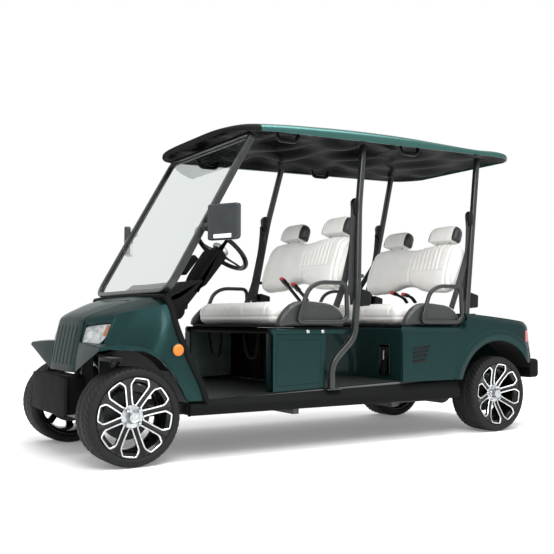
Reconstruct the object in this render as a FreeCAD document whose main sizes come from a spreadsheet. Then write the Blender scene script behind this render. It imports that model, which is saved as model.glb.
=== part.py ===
"""Four-seat electric golf cart with a fixed roof and windshield.

Millimetres, degrees. +X points forward, +Y to the cart's left and +Z up; the origin lies on the
ground under the middle of the cart, and every size below is kept in the Sizes sheet.
"""
import FreeCAD, Part
import math
import os
import Sketcher
from FreeCAD import Placement, Rotation, Vector

LEFT, RIGHT = 1, -1
TUBE_SIDES = 10

# The sheet: one row for each size that can be set by itself
SIZES = [
    ("front_overhang", 272, "front bumper face to front wheel centre"),
    ("seat_setback", 820, "front wheel centre to the front cushion"),
    ("seat_pitch", 900, "front cushion to rear cushion"),
    ("seat_to_axle", 750, "rear cushion to rear wheel centre"),
    ("rear_overhang", 488, "rear wheel centre to rear bumper face"),
    ("front_track_half", 472, "front tyre middle plane"),
    ("rear_track_half", 492, "rear tyre middle plane"),
    ("tyre_radius", 240, "205/30-14 tyre"),
    ("tyre_width", 203, "section width of the tyre"),
    ("tread_width", 176, "flat of the tread"),
    ("bead_radius", 178, "14 inch rim seat"),
    ("rim_flange_radius", 193, "outer edge of the wheel face"),
    ("rim_wall", 6, "barrel wall"),
    ("flange_thick", 8, "outer flange of the rim"),
    ("face_inset", 12, "wheel face behind the tyre side"),
    ("dish_depth", 38, "hub face behind the wheel face"),
    ("spoke_thick", 14, "thickness of the wheel's dished face"),
    ("windows", 8, "petal windows in the wheel face"),
    ("window_root", 66, "inner end of a window from the wheel centre"),
    ("window_root_half", 7, "half width of a window's inner end"),
    ("window_belly", 150, "widest part of a window from the wheel centre"),
    ("window_belly_half", 40, "half width of a window at its widest"),
    ("window_tip_half", 26, "half width of a window at the rim"),
    ("window_rim", 9, "wheel face outside a window"),
    ("window_border", 6, "raised bright border round a window"),
    ("border_rise", 3, "border above the dished face"),
    ("wheel_sides", 48, "flats round the tyre and the rim"),
    ("hub_radius", 58, "hub of the wheel"),
    ("hub_thick", 40, "hub of the wheel"),
    ("cap_wall", 8, "hub material in front of the stub axle"),
    ("cap_radius", 27, "centre cap"),
    ("cap_height", 36, "centre cap out of the hub"),
    ("lugs", 4, "lug nuts on each wheel"),
    ("lug_circle", 46, "radius of the lug circle"),
    ("lug_radius", 10, "one lug nut"),
    ("lug_height", 16, "how far a lug nut stands out"),
    ("fit_gap", 0.3, "gap between curved faces"),
    ("kingpin_half", 380, "kingpin axis from the middle"),
    ("kingpin_radius", 12, "steering pivot pin"),
    ("knuckle_height", 90, "upright between its two arms"),
    ("knuckle_radius", 24, "upright of the knuckle"),
    ("eye_height", 20, "wishbone eye round the kingpin"),
    ("eye_radius", 27, "wishbone eye round the kingpin"),
    ("arm_spread", 84, "wishbone bars at the frame, from the axle"),
    ("spindle_radius", 15, "stub axle"),
    ("drum_radius", 120, "brake drum"),
    ("drum_width", 46, "brake drum"),
    ("steer_arm", 115, "kingpin to track rod eye"),
    ("rod_clearance", 6, "track rod below the frame rails"),
    ("rod_radius", 9, "track rod"),
    ("running_gap", 0.05, "radial play of a shaft in its hub"),
    ("rail_half", 250, "frame rail from the middle"),
    ("rail_height", 60, "frame rail section"),
    ("rail_width", 40, "frame rail section"),
    ("rail_base", 190, "underside of the frame rails"),
    ("rail_kick", 285, "underside of the rails over the rear axle"),
    ("spring_half", 350, "half length of a leaf spring"),
    ("spring_width", 50, "leaf spring"),
    ("shock_inset", 95, "shock absorber inside the kingpin"),
    ("shock_length", 190, "front shock absorber"),
    ("shock_radius", 27, "coil of a shock absorber"),
    ("nose_rail_half", 150, "front rail from the middle"),
    ("floor_front", 300, "floor top at its front end"),
    ("floor_rear", 345, "floor top at its rear end"),
    ("floor_thick", 16, "floor panel"),
    ("floor_half", 548, "floor from the middle"),
    ("rocker_half", 592, "outer face of the rocker panel"),
    ("rocker_thick", 42, "rocker panel"),
    ("rocker_base", 230, "underside of the rocker panel"),
    ("rocker_setback", 283, "rocker panel behind the front wheel centre"),
    ("rocker_to_axle", 347, "rocker panel ahead of the rear wheel centre"),
    ("cowl_half", 575, "front fender from the middle"),
    ("cowl_wall", 7, "thickness of the moulded body"),
    ("nose_half", 206, "half width of the nose"),
    ("nose_setback", 83, "foot of the nose behind the front bumper's face"),
    ("groove_pitch", 60, "spacing of the upright grooves in the nose"),
    ("groove_half", 6, "half width of a groove in the nose"),
    ("groove_depth", 9, "groove in the nose"),
    ("hood_half", 500, "half width of the hood at the glass"),
    ("fender_height", 572, "flat lip of the front fender"),
    ("nose_rise", 143, "top edge of the nose above the fender"),
    ("hood_rise", 228, "hood at the windshield above the fender"),
    ("scuttle_back", 160, "hood's rear edge behind the axle"),
    ("bumper_half", 342, "half width of the front bumper"),
    ("bumper_top", 425, "front bumper"),
    ("bumper_base", 228, "front bumper"),
    ("bumper_depth", 150, "front bumper"),
    ("lamp_inner", 216, "headlight from the middle"),
    ("lamp_outer", 345, "headlight from the middle"),
    ("lamp_drop", 29, "headlight below the nose's top edge"),
    ("lamp_lift", 18, "headlight above the fender"),
    ("marker_radius", 29, "amber side marker"),
    ("marker_drop", 12, "amber side marker below the fender's lip"),
    ("glass_half", 520, "windshield frame from the middle"),
    ("glass_lift", 38, "foot of the windshield above the hood"),
    ("strip_height", 16, "scuttle strip under the windshield"),
    ("glass_rake", 510, "foot to head of the windshield along the cart"),
    ("glass_thick", 5, "windshield glass"),
    ("pillar_depth", 40, "windshield pillar"),
    ("pillar_width", 28, "windshield pillar"),
    ("roof_setback", 548, "front edge of the roof behind the front wheel centre"),
    ("roof_tail", 268, "rear edge of the roof behind the rear wheel centre"),
    ("roof_half", 562, "half width of the roof"),
    ("roof_edge_front", 1722, "lower edge of the roof at the front"),
    ("roof_edge_rear", 1790, "lower edge of the roof at the rear"),
    ("roof_rise", 92, "roof skin above its lower edge"),
    ("roof_wall", 5, "roof skin"),
    ("liner_edge", 6, "roof liner at its edge"),
    ("liner_lift", 4, "liner above the roof's lower edge"),
    ("strut_radius", 16, "roof strut tube"),
    ("strut_bend", 60, "bend radius of the roof struts"),
    ("bracket_radius", 11, "cross tube behind a backrest"),
    ("bracket_step", 24, "cross tube's corner inside the strut"),
    ("bracket_bend", 22, "bend radius of the cross tube"),
    ("seat_half", 482, "half width of a cushion"),
    ("cushion_length", 490, "front to back"),
    ("cushion_thick", 130, "cushion"),
    ("board_thick", 14, "board under a cushion"),
    ("back_foot", 598, "foot of the backrest behind the cushion's front"),
    ("back_lift", 203, "underside of a backrest above the cushion's underside"),
    ("back_height", 330, "backrest along its slope"),
    ("back_thick", 105, "backrest"),
    ("back_lean", 19, "lean of the backrest"),
    ("back_half", 448, "half width of a backrest"),
    ("headrest_offset", 238, "headrest from the middle"),
    ("headrest_width", 262, "headrest"),
    ("headrest_height", 118, "headrest"),
    ("headrest_thick", 92, "headrest"),
    ("pad_thick", 62, "side pad"),
    ("pad_height", 150, "side pad"),
    ("pad_length", 480, "side pad"),
    ("hinge_radius", 7, "hinge barrel under a seat board"),
    ("hinge_offset", 400, "hinge barrel from the middle"),
    ("soft_gap", 6, "gap round a moving cushion"),
    ("armrest_width", 26, "armrest bar"),
    ("base_height", 667, "top of the seat boxes"),
    ("base_half", 520, "half width of the front seat box"),
    ("base_setback", 310, "rear panel of the front seat box behind the cushion's front"),
    ("leg_ahead", 30, "side panels of the front seat box ahead of the cushion"),
    ("leg_out", 24, "side panels of the front seat box outside its rear panel"),
    ("panel_thick", 8, "seat box panels"),
    ("body_half", 590, "rear body from the middle"),
    ("body_ahead", 57, "front face of the rear body ahead of the rear cushion"),
    ("body_base", 345, "underside of the rear body"),
    ("shoulder_rise", 83, "top of the rear body above the seat box"),
    ("tail_rise", 28, "tail of the rear body above the seat box"),
    ("body_tail_back", 313, "upper tail edge of the body behind the rear wheel centre"),
    ("tail_edge_height", 470, "lower tail edge of the body"),
    ("body_end_back", 378, "lower tail edge of the body behind the rear wheel centre"),
    ("flare_out", 7, "band round the rear wheel opening, out from the side"),
    ("flare_radius", 408, "outer edge of the band round the rear wheel opening"),
    ("shoulder_round", 24, "rounding between the deck and the sides of the rear body"),
    ("rear_arch_radius", 340, "rear wheel opening"),
    ("rear_bumper_top", 450, "rear bumper"),
    ("rear_bumper_base", 325, "rear bumper"),
    ("rear_bumper_half", 520, "rear bumper"),
    ("dash_depth", 200, "dashboard front to back"),
    ("pod_half", 85, "half width of the instrument pod"),
    ("wheel_offset", 270, "steering wheel from the middle"),
    ("wheel_setback", 617, "steering wheel hub behind the front wheel centre"),
    ("wheel_hub_height", 1105, "steering wheel hub"),
    ("column_length", 345, "steering column"),
    ("wheel_tilt", 50, "steering column above level"),
    ("wheel_radius", 165, "steering wheel rim"),
    ("wheel_grip", 13, "steering wheel rim section"),
    ("column_radius", 26, "steering column"),
    ("mirror_setback", 435, "mirror behind the front wheel centre"),
    ("mirror_out", 640, "mirror from the middle"),
    ("mirror_height", 1205, "mirror middle"),
    ("mirror_width", 185, "mirror housing"),
    ("mirror_tall", 185, "mirror housing"),
    ("mirror_thick", 42, "mirror housing"),
    ("mirror_turn", 28, "mirror turned outwards"),
    ("mirror_arm", 10, "mirror arm"),
    ("axle_tube_radius", 32, "rear axle"),
    ("gearbox_radius", 105, "gear case of the rear axle"),
    ("motor_radius", 92, "drive motor"),
    ("motor_length", 260, "drive motor"),
    ("battery_length", 350, "battery block"),
    ("battery_half", 268, "battery block half width"),
    ("battery_height", 190, "battery block"),
    ("tow_plate_thick", 10, "tow plate under the rear cross member"),
    ("tow_hole", 5.5, "radius of a tow plate hole"),
    ("tow_spacing_wide", 120, "tow plate hole spacing"),
    ("tow_spacing_tall", 40, "tow plate hole spacing"),
]


class Size:
    """A length with the sheet formula that gives it, so that sums stay tied to the sheet."""

    def __init__(self, number, formula=None):
        self.number = float(number)
        self.formula = formula or repr(number)

    def __add__(self, other):
        other = as_size(other)
        return Size(self.number + other.number, f"({self.formula} + {other.formula})")

    def __sub__(self, other):
        other = as_size(other)
        return Size(self.number - other.number, f"({self.formula} - {other.formula})")

    def __mul__(self, other):
        other = as_size(other)
        return Size(self.number * other.number, f"({self.formula} * {other.formula})")

    def __truediv__(self, other):
        other = as_size(other)
        return Size(self.number / other.number, f"({self.formula} / {other.formula})")

    def __neg__(self):
        return Size(-self.number, f"(-1 * {self.formula})")

    def __radd__(self, other):
        return as_size(other) + self

    def __rsub__(self, other):
        return as_size(other) - self

    def __rmul__(self, other):
        return as_size(other) * self

    def __float__(self):
        return self.number


def as_size(value):
    return value if isinstance(value, Size) else Size(value)


doc = FreeCAD.newDocument("GolfCart")
sheet = doc.addObject("Spreadsheet::Sheet", "Sizes")


class SheetSizes:
    """Every size of the sheet under its own name."""


s = SheetSizes()
for row, (name, number, note) in enumerate(SIZES, start=1):
    sheet.set(f"A{row}", name)
    sheet.set(f"B{row}", str(number))
    sheet.set(f"C{row}", note)
    sheet.setAlias(f"B{row}", name)
    setattr(s, name, Size(number, f"Sizes.{name}"))
doc.recompute()

half_length = (s.front_overhang + s.seat_setback + s.seat_pitch + s.seat_to_axle + s.rear_overhang) / 2
front_axle = half_length - s.front_overhang
seat_front = front_axle - s.seat_setback
rear_axle = seat_front - s.seat_pitch - s.seat_to_axle
body_front = seat_front - s.seat_pitch + s.body_ahead
body_tail = rear_axle - s.body_tail_back
body_end = rear_axle - s.body_end_back
body_shoulder = s.base_height + s.shoulder_rise
body_tail_height = s.base_height + s.tail_rise
cushion_base = s.base_height + s.board_thick + s.fit_gap * 2
back_base = cushion_base + s.back_lift
rocker_front = front_axle - s.rocker_setback
rocker_rear = rear_axle + s.rocker_to_axle
nose_top = s.fender_height + s.nose_rise
hood_rear_height = s.fender_height + s.hood_rise
lamp_top = nose_top - s.lamp_drop
lamp_base = s.fender_height + s.lamp_lift
roof_front = front_axle - s.roof_setback
roof_rear = rear_axle - s.roof_tail

nodes = []


def node(thing, label):
    """Gives a finished object its node name."""
    thing.Label = label
    nodes.append(thing)
    return thing


def tie(thing, prop, size):
    """Sets a property and ties it to the sheet."""
    size = as_size(size)
    if "Sizes." in size.formula:
        thing.setExpression(prop, size.formula)
    elif "." in prop:
        thing.setExpression(prop, repr(size.number))
    else:
        setattr(thing, prop, size.number)


def place(thing, at, axis=Vector(0, 0, 1), angle=0):
    """Puts an object where three sizes say, turned about an axis."""
    thing.Placement = Placement(Vector(*(float(as_size(c)) for c in at)), Rotation(axis, angle))
    for letter, size in zip("xyz", at):
        tie(thing, f"Placement.Base.{letter}", size)
    return thing


def box(name, low, high):
    """A block between two corners."""
    thing = doc.addObject("Part::Box", name)
    for prop, a, b in zip(("Length", "Width", "Height"), low, high):
        tie(thing, prop, as_size(b) - as_size(a))
    return place(thing, low)


def rod(name, at, radius, length, axis="z"):
    """A cylinder from a point along one axis."""
    thing = doc.addObject("Part::Cylinder", name)
    tie(thing, "Radius", radius)
    tie(thing, "Height", length)
    turns = {"z": (Vector(0, 0, 1), 0), "x": (Vector(0, 1, 0), 90), "y": (Vector(1, 0, 0), -90)}
    return place(thing, at, *turns[axis])


def prism(name, at, radius, length, axis="z", sides=24):
    """A regular prism from a point along one axis, for round pieces that nothing turns in."""
    thing = doc.addObject("Part::Prism", name)
    tie(thing, "Circumradius", radius)
    tie(thing, "Height", length)
    thing.Polygon = sides
    turns = {"z": (Vector(0, 0, 1), 0), "x": (Vector(0, 1, 0), 90), "y": (Vector(1, 0, 0), -90)}
    return place(thing, at, *turns[axis])


def ring_loft(name, rings):
    """A solid about the wheel's axis: regular polygons of each (y, radius) joined in turn."""
    sections = []
    for i, (y, radius) in enumerate(rings):
        ring = doc.addObject("Part::RegularPolygon", f"{name}_ring_{i}")
        tie(ring, "Circumradius", radius)
        ring.Polygon = int(s.wheel_sides.number)
        place(ring, (0, y, 0), Vector(1, 0, 0), -90)
        sections.append(ring)
    thing = doc.addObject("Part::Loft", name)
    thing.Sections = sections
    thing.Solid = True
    thing.Ruled = True
    return thing


def station(name, plane, lift, corners):
    """A closed outline across the cart at one station, or along it at one height, for a loft."""
    sketch = doc.addObject("Sketcher::SketchObject", name)
    turn = Rotation(Vector(1, 1, 1), 120) if plane == "YZ" else Rotation()
    sketch.Placement = Placement(Vector(0, 0, 0), turn)
    letter = "x" if plane == "YZ" else "z"
    tie(sketch, "Placement.Base." + letter, lift)
    draw_polygon(sketch, corners)
    return sketch


def loft(name, sections):
    thing = doc.addObject("Part::Loft", name)
    thing.Sections = sections
    thing.Solid = True
    thing.Ruled = True
    return thing


def common(name, parts):
    thing = doc.addObject("Part::MultiCommon", name)
    thing.Shapes = parts
    return thing


def fuse(name, parts):
    thing = doc.addObject("Part::MultiFuse", name)
    thing.Shapes = parts
    thing.Refine = True
    return thing


def cut(name, base, tool):
    thing = doc.addObject("Part::Cut", name)
    thing.Base = base
    thing.Tool = tool
    return thing


def compound(name, parts):
    thing = doc.addObject("Part::Compound", name)
    thing.Links = parts
    return thing


def mirrored(name, source):
    """The same piece on the cart's other side."""
    thing = doc.addObject("Part::Mirroring", name)
    thing.Source = source
    thing.Base = Vector(0, 0, 0)
    thing.Normal = Vector(0, 1, 0)
    return thing


def pair(label, source):
    """A left piece and its mirror image as the two solids of one node."""
    return node(compound(label + "_pair", [source, mirrored(label + "_right", source)]), label)


def feature(name, shape):
    """An object whose shape is worked out below from the sheet's sizes."""
    thing = doc.addObject("Part::Feature", name)
    thing.Shape = shape
    return thing


def new_body(name):
    return doc.addObject("PartDesign::Body", name)


def sketch_on(body, role, name, lift=0):
    """An empty sketch on an origin plane of the body, lifted along the plane's normal."""
    sketch = body.newObject("Sketcher::SketchObject", name)
    plane = next(p for p in body.Origin.OriginFeatures if p.Role == role)
    sketch.AttachmentSupport = [(plane, "")]
    sketch.MapMode = "FlatFace"
    tie(sketch, "AttachmentOffset.Base.z", lift)
    return sketch


def draw_polygon(sketch, corners):
    """A closed polygon whose corners are tied to the sheet."""
    first = sketch.GeometryCount
    count = len(corners)
    spots = [Vector(float(as_size(u)), float(as_size(v)), 0) for u, v in corners]
    for i in range(count):
        sketch.addGeometry(Part.LineSegment(spots[i], spots[(i + 1) % count]))
    for i in range(count):
        after = first + (i + 1) % count
        sketch.addConstraint(Sketcher.Constraint("Coincident", first + i, 2, after, 1))
    for i, corner in enumerate(corners):
        for kind, size in zip(("DistanceX", "DistanceY"), corner):
            size = as_size(size)
            k = sketch.addConstraint(Sketcher.Constraint(kind, -1, 1, first + i, 1, size.number))
            if "Sizes." in size.formula:
                sketch.setExpression(f"Constraints[{k}]", size.formula)


def pad(body, sketch, name, length, back=False):
    feat = body.newObject("PartDesign::Pad", name)
    feat.Profile = sketch
    tie(feat, "Length", length)
    feat.Reversed = back
    sketch.Visibility = False
    return feat


def pocket(body, sketch, name, length=None, back=False):
    """A cut of the given depth, or right through."""
    feat = body.newObject("PartDesign::Pocket", name)
    feat.Profile = sketch
    if length is None:
        feat.Type = "ThroughAll"
        feat.Midplane = True
    else:
        tie(feat, "Length", length)
    feat.Reversed = back
    return feat


def side_pad(name, corners, near, far):
    """A body from an (x, z) outline, between two distances from the middle plane."""
    body = new_body(name)
    sketch = sketch_on(body, "XZ_Plane", name + "_outline", -as_size(far))
    draw_polygon(sketch, corners)
    pad(body, sketch, name + "_pad", as_size(far) - as_size(near))
    return body


def plan_pad(name, corners, low, high):
    """A body from an (x, y) outline, between two heights."""
    body = new_body(name)
    sketch = sketch_on(body, "XY_Plane", name + "_outline", low)
    draw_polygon(sketch, corners)
    pad(body, sketch, name + "_pad", as_size(high) - as_size(low))
    return body


def front_pad(name, corners, rear, front):
    """A body from a (y, z) outline, between two stations along the cart."""
    body = new_body(name)
    sketch = sketch_on(body, "YZ_Plane", name + "_outline", rear)
    draw_polygon(sketch, corners)
    pad(body, sketch, name + "_pad", as_size(front) - as_size(rear))
    return body


def spread(edge):
    """How far an edge reaches along X, Y and Z."""
    bounds = edge.BoundBox
    return bounds.XLength, bounds.YLength, bounds.ZLength


def round_off(body, radius, chosen):
    """Rounds the edges of the body's last feature that the test picks."""
    doc.recompute()
    base = body.Tip
    names = [f"Edge{i}" for i, e in enumerate(base.Shape.Edges, start=1) if chosen(e)]
    feat = body.newObject("PartDesign::Fillet", base.Name + "_round")
    feat.Base = (base, names)
    tie(feat, "Radius", radius)
    return feat


def along(letter):
    """Picks the edges that run straight along one axis."""
    k = "xyz".index(letter)

    def chosen(edge):
        reach = spread(edge)
        return reach[k] > 1 and max(reach[:k] + reach[k + 1:]) < 1e-3

    return chosen


def bent_wire(points, radius):
    """A line through the points with each corner turned by an arc tangent to both runs."""
    points = [Vector(*p) for p in points]
    edges = []
    start = points[0]
    for before, corner, after in zip(points, points[1:], points[2:]):
        into = (before - corner).normalize()
        out = (after - corner).normalize()
        half = into.getAngle(out) / 2
        reach = radius / math.tan(half)
        first, last = corner + into * reach, corner + out * reach
        middle = corner + (into + out).normalize() * (radius / math.sin(half) - radius)
        edges.append(Part.LineSegment(start, first).toShape())
        edges.append(Part.Arc(first, middle, last).toShape())
        start = last
    edges.append(Part.LineSegment(start, points[-1]).toShape())
    return Part.Wire(edges)


def bent_tube(points, tube_radius, bend_radius):
    """A round tube swept along a bent wire."""
    path = bent_wire(points, bend_radius)
    edge = path.OrderedEdges[0]
    start = edge.valueAt(edge.FirstParameter)
    heading = edge.tangentAt(edge.FirstParameter)
    sideways = heading.cross(Vector(0, 0, 1) if abs(heading.z) < 0.9 else Vector(0, 1, 0)).normalize()
    around = [start + Rotation(heading, 360 * i / TUBE_SIDES).multVec(sideways * tube_radius)
              for i in range(TUBE_SIDES)]
    ring = Part.makePolygon(around + around[:1])
    return path.makePipeShell([ring], True, False)


# Wheels: a tyre and a cast rim on each hub, drawn once about the origin with the outer face towards +Y
def make_tyre():
    """Low-profile tyre: flat tread, round shoulders, beads seated on the rim."""
    half = s.tyre_width / 2
    tread = s.tread_width / 2
    seat = half - s.face_inset - s.flange_thick - s.fit_gap
    lip = s.rim_flange_radius + s.fit_gap
    carcass = ring_loft("tyre_carcass", [
        (-half, s.tyre_radius - 24), (-tread, s.tyre_radius - 5), (-tread + 20, s.tyre_radius),
        (tread - 20, s.tyre_radius), (tread, s.tyre_radius - 5), (half, s.tyre_radius - 24)])
    bore = ring_loft("tyre_bore", [(-half - 1, s.bead_radius + s.fit_gap),
                                   (half + 1, s.bead_radius + s.fit_gap)])
    recesses = [ring_loft("tyre_recess", [(seat * side, lip), ((half + 1) * side, lip + 12)])
                for side in (LEFT, RIGHT)]
    return cut("tyre_ring", carcass, fuse("tyre_hollow", [bore] + recesses))


def window_outline(inset):
    """One petal window of the wheel face as (across, out) corners, drawn in by an inset."""
    root, tip = s.window_root + inset * 2, s.rim_flange_radius - s.window_rim - inset
    belly = s.window_belly
    near, far = s.window_root_half - inset * 0.6, s.window_tip_half - inset * 0.6
    wide = s.window_belly_half - inset
    return [(-near, root), (near, root), (wide * 0.62, root + (belly - root) * 0.55), (wide, belly),
            (far, tip),
            (-far, tip), (-wide, belly), (-wide * 0.62, root + (belly - root) * 0.55)]


def all_round(name, body, feat, count):
    """Repeats a feature of the body about the wheel's own axis."""
    pattern = body.newObject("PartDesign::PolarPattern", name)
    pattern.Originals = [feat]
    pattern.Axis = (next(a for a in body.Origin.OriginFeatures if a.Role == "Y_Axis"), [""])
    pattern.Angle = 360
    tie(pattern, "Occurrences", count)
    body.Tip = pattern
    doc.recompute()


def petals(name, outlines, near, far):
    """Prisms all round the axle, each with the outline of a window or of its border."""
    body = new_body(name)
    sketch = sketch_on(body, "XZ_Plane", name + "_outline", -as_size(far))
    for outline in outlines:
        draw_polygon(sketch, outline)
    first = pad(body, sketch, name + "_one", as_size(far) - as_size(near))
    doc.recompute()
    all_round(name + "_round", body, first, s.windows)
    return body


def make_rim():
    """Cast rim: barrel, dished face with petal windows in raised borders, hub, cap and lug nuts."""
    inner = s.bead_radius - s.rim_wall
    face = s.tyre_width / 2 - s.face_inset
    flange = face - s.flange_thick
    hub_face = face - s.dish_depth
    edge = s.rim_flange_radius

    def scoop(name, rise):
        """What is hollow in front of the dished face, or of a face that stands higher by a rise."""
        return ring_loft(name, [(hub_face + rise, s.hub_radius), (face + rise, inner),
                                (face + rise + 0.1, edge + 5), (face + rise + 12, edge + 5)])

    bore = ring_loft("rim_bore", [(-face - 1, inner), (flange + 1, inner)])
    seat = ring_loft("rim_seat", [(-face, s.bead_radius), (flange, s.bead_radius)])
    back_lip = ring_loft("rim_back_lip", [(-face, edge), (-flange, edge)])
    barrel = cut("rim_barrel", fuse("rim_barrel_skin", [seat, back_lip]), bore)
    dish = ring_loft("rim_dish", [(hub_face - s.spoke_thick, s.hub_radius), (face - s.spoke_thick, inner),
                                  (face, inner)])
    front_lip = ring_loft("rim_front_lip", [(flange, edge), (face, edge)])
    openings = petals("rim_windows", [window_outline(0)], hub_face - s.hub_thick, face + 12)
    plate = cut("rim_plate", fuse("rim_face", [dish, front_lip]),
                fuse("rim_openings", [scoop("rim_scoop", 0), openings]))
    room = fuse("rim_border_room", [ring_loft("rim_room_inner",
                                              [(hub_face - s.spoke_thick, inner), (face + 12, inner)]),
                                    ring_loft("rim_room_lip", [(flange, edge), (face + 12, edge)])])
    walls = petals("rim_walls", [window_outline(-s.window_border), window_outline(0)],
                   hub_face - s.spoke_thick,
                   face + 12)
    borders = cut("rim_borders", common("rim_border_bars", [walls, room]),
                  scoop("rim_scoop_high", s.border_rise))
    hub = prism("rim_hub", (0, hub_face - s.hub_thick, 0), s.hub_radius, s.hub_thick, "y", 32)
    cap = prism("rim_cap", (0, hub_face, 0), s.cap_radius, s.cap_height, "y", 16)
    pieces = [barrel, plate, borders, hub, cap]
    for i in range(int(s.lugs.number)):
        turn = math.radians(45 + 360 / s.lugs.number * i)
        pieces.append(prism(f"rim_lug_{i}",
                            (s.lug_circle * math.cos(turn), hub_face, s.lug_circle * math.sin(turn)),
                            s.lug_radius, s.lug_height, "y", 6))
    shaft = rod("rim_shaft", (0, hub_face - s.hub_thick - 1, 0), s.spindle_radius + s.running_gap,
                s.hub_thick - s.cap_wall + 1, "y")
    return cut("rim_casting", fuse("rim_pieces", pieces), shaft)


tyre_pattern = make_tyre()
rim_pattern = make_rim()
rim_patterns = {LEFT: rim_pattern, RIGHT: mirrored("rim_casting_right", rim_pattern)}
for end, axle, track in (("front", front_axle, s.front_track_half), ("rear", rear_axle, s.rear_track_half)):
    for side, word in ((LEFT, "left"), (RIGHT, "right")):
        spot = (axle, side * track, s.tyre_radius)
        node(place(compound(f"tyre_{end}_{word}", [tyre_pattern]), spot), f"tyre_{end}_{word}")
        node(place(compound(f"rim_{end}_{word}", [rim_patterns[side]]), spot), f"rim_{end}_{word}")


hub_face_out = s.tyre_width / 2 - s.face_inset - s.dish_depth
low_eye = s.tyre_radius - s.knuckle_height / 2 - s.eye_height
high_eye = s.tyre_radius + s.knuckle_height / 2
shock_foot = high_eye + s.eye_height + s.fit_gap
shock_top = shock_foot + s.shock_length


# Steering knuckles: upright and pins on the kingpin axis, stub axle, arm and brake back plate
def make_knuckle(side, word):
    label = "knuckle_" + word
    low = s.tyre_radius - s.knuckle_height / 2
    kingpin = side * s.kingpin_half
    upright = rod(label + "_upright", (front_axle, kingpin, low), s.knuckle_radius, s.knuckle_height)
    pin = rod(label + "_pin", (front_axle, kingpin, low - s.eye_height), s.kingpin_radius,
              s.knuckle_height + s.eye_height * 2)
    tip = s.front_track_half + hub_face_out - s.cap_wall - 2
    start = s.kingpin_half if side == LEFT else -tip
    stub = rod(label + "_stub", (front_axle, start, s.tyre_radius), s.spindle_radius,
               tip - s.kingpin_half, "y")
    drum_start = s.kingpin_half + s.knuckle_radius + 6
    drum = prism(label + "_drum", (front_axle, drum_start if side == LEFT else -(drum_start + s.drum_width),
                                 s.tyre_radius), s.drum_radius, s.drum_width, "y", 32)
    boss_end = s.kingpin_half + s.knuckle_radius + 10
    boss = rod(label + "_boss", (front_axle, s.kingpin_half if side == LEFT else -boss_end,
                                 s.tyre_radius), s.spindle_radius + 14, boss_end - s.kingpin_half, "y")
    arm = box(label + "_arm", (front_axle - s.steer_arm - 12, kingpin - 12, low + 3),
              (front_axle, kingpin + 12, low + 17))
    rod_top = s.rail_base - s.rod_clearance
    eye_pin = rod(label + "_eye_pin", (front_axle - s.steer_arm, kingpin, rod_top + s.fit_gap), 8,
                  low + 4 - rod_top)
    return node(fuse(label, [upright, pin, stub, drum, boss, arm, eye_pin]), label)


make_knuckle(LEFT, "left")
make_knuckle(RIGHT, "right")

# Frame: a ladder of box section that rises over the rear axle and narrows between the front wheels
rail_top = s.rail_base + s.rail_height
frame_rear = -half_length + 120
frame_front = front_axle + 120
rail_join = front_axle - 440
kick_top = s.rail_kick + s.rail_height
rail_inner, rail_outer = s.rail_half - s.rail_width / 2, s.rail_half + s.rail_width / 2
nose_inner, nose_outer = s.nose_rail_half - s.rail_width / 2, s.nose_rail_half + s.rail_width / 2
main_rail = side_pad("main_rail", [
    (frame_rear, s.rail_kick), (rear_axle + 170, s.rail_kick), (rear_axle + 290, s.rail_base),
    (rail_join, s.rail_base), (rail_join, rail_top), (rear_axle + 270, rail_top),
    (rear_axle + 150, kick_top), (frame_rear, kick_top)], rail_inner, rail_outer)
nose_rail = box("nose_rail", (rail_join - 60, nose_inner, s.rail_base), (frame_front, nose_outer, rail_top))
tower = box("shock_tower", (front_axle - 32, nose_inner, rail_top),
            (front_axle + 32, nose_inner + 14, shock_top + 18))
tower_cap = box("shock_tower_cap", (front_axle - 32, nose_inner, shock_top + s.fit_gap),
                (front_axle + 32, s.kingpin_half - s.shock_inset + 30, shock_top + 18))
spring_out = rail_outer + 34
spring_seat = s.rail_base + 35
front_hanger = box("front_hanger", (rear_axle + s.spring_half - 30, rail_outer, spring_seat),
                   (rear_axle + s.spring_half, spring_out + s.spring_width / 2, rail_top))
rear_hanger = box("rear_hanger", (rear_axle - s.spring_half, rail_outer - 4, spring_seat),
                  (rear_axle - s.spring_half + 30, spring_out + s.spring_width / 2, s.rail_kick + 20))
side_parts = [main_rail, nose_rail, tower, tower_cap, front_hanger, rear_hanger]
for i, spot in enumerate((seat_front - 130, body_front + 20)):
    side_parts.append(box(f"outrigger_{i}", (spot, s.rail_half, s.rail_base + 10),
                          (spot + 36, s.rocker_half - s.rocker_thick - s.fit_gap, rail_top - 4)))
left_side = fuse("frame_left", side_parts)
parts = [left_side, mirrored("frame_right", left_side)]
for i, spot in enumerate((body_front + 20, seat_front - 130, rail_join - s.rail_width)):
    parts.append(box(f"cross_{i}", (spot, -rail_outer, s.rail_base),
                     (spot + s.rail_width, rail_outer, rail_top)))
parts.append(box("cross_rear", (frame_rear, -rail_outer, s.rail_kick),
                 (frame_rear + s.rail_width, rail_outer, kick_top)))
parts.append(box("nose_cross", (frame_front - s.rail_width, -nose_outer, s.rail_base),
                 (frame_front, nose_outer, rail_top)))
for word, spot in (("rail_tie", front_axle - 480), ("bumper_arm", front_axle + 60)):
    parts.append(box(word, (spot, -nose_inner, s.rail_base + 10), (spot + 30, nose_inner, rail_top - 10)))
plate_low = s.rail_kick - s.tow_spacing_tall - 30
parts.append(box("tow_plate", (frame_rear, -s.tow_spacing_wide / 2 - 25, plate_low),
                 (frame_rear + s.tow_plate_thick, s.tow_spacing_wide / 2 + 25, s.rail_kick + 10)))
for y in (-nose_outer + 5, nose_inner + 5):
    parts.append(box("bumper_stay", (frame_front - 10, y, s.bumper_base + 2),
                     (half_length - s.bumper_depth, y + 25, rail_top)))
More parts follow.
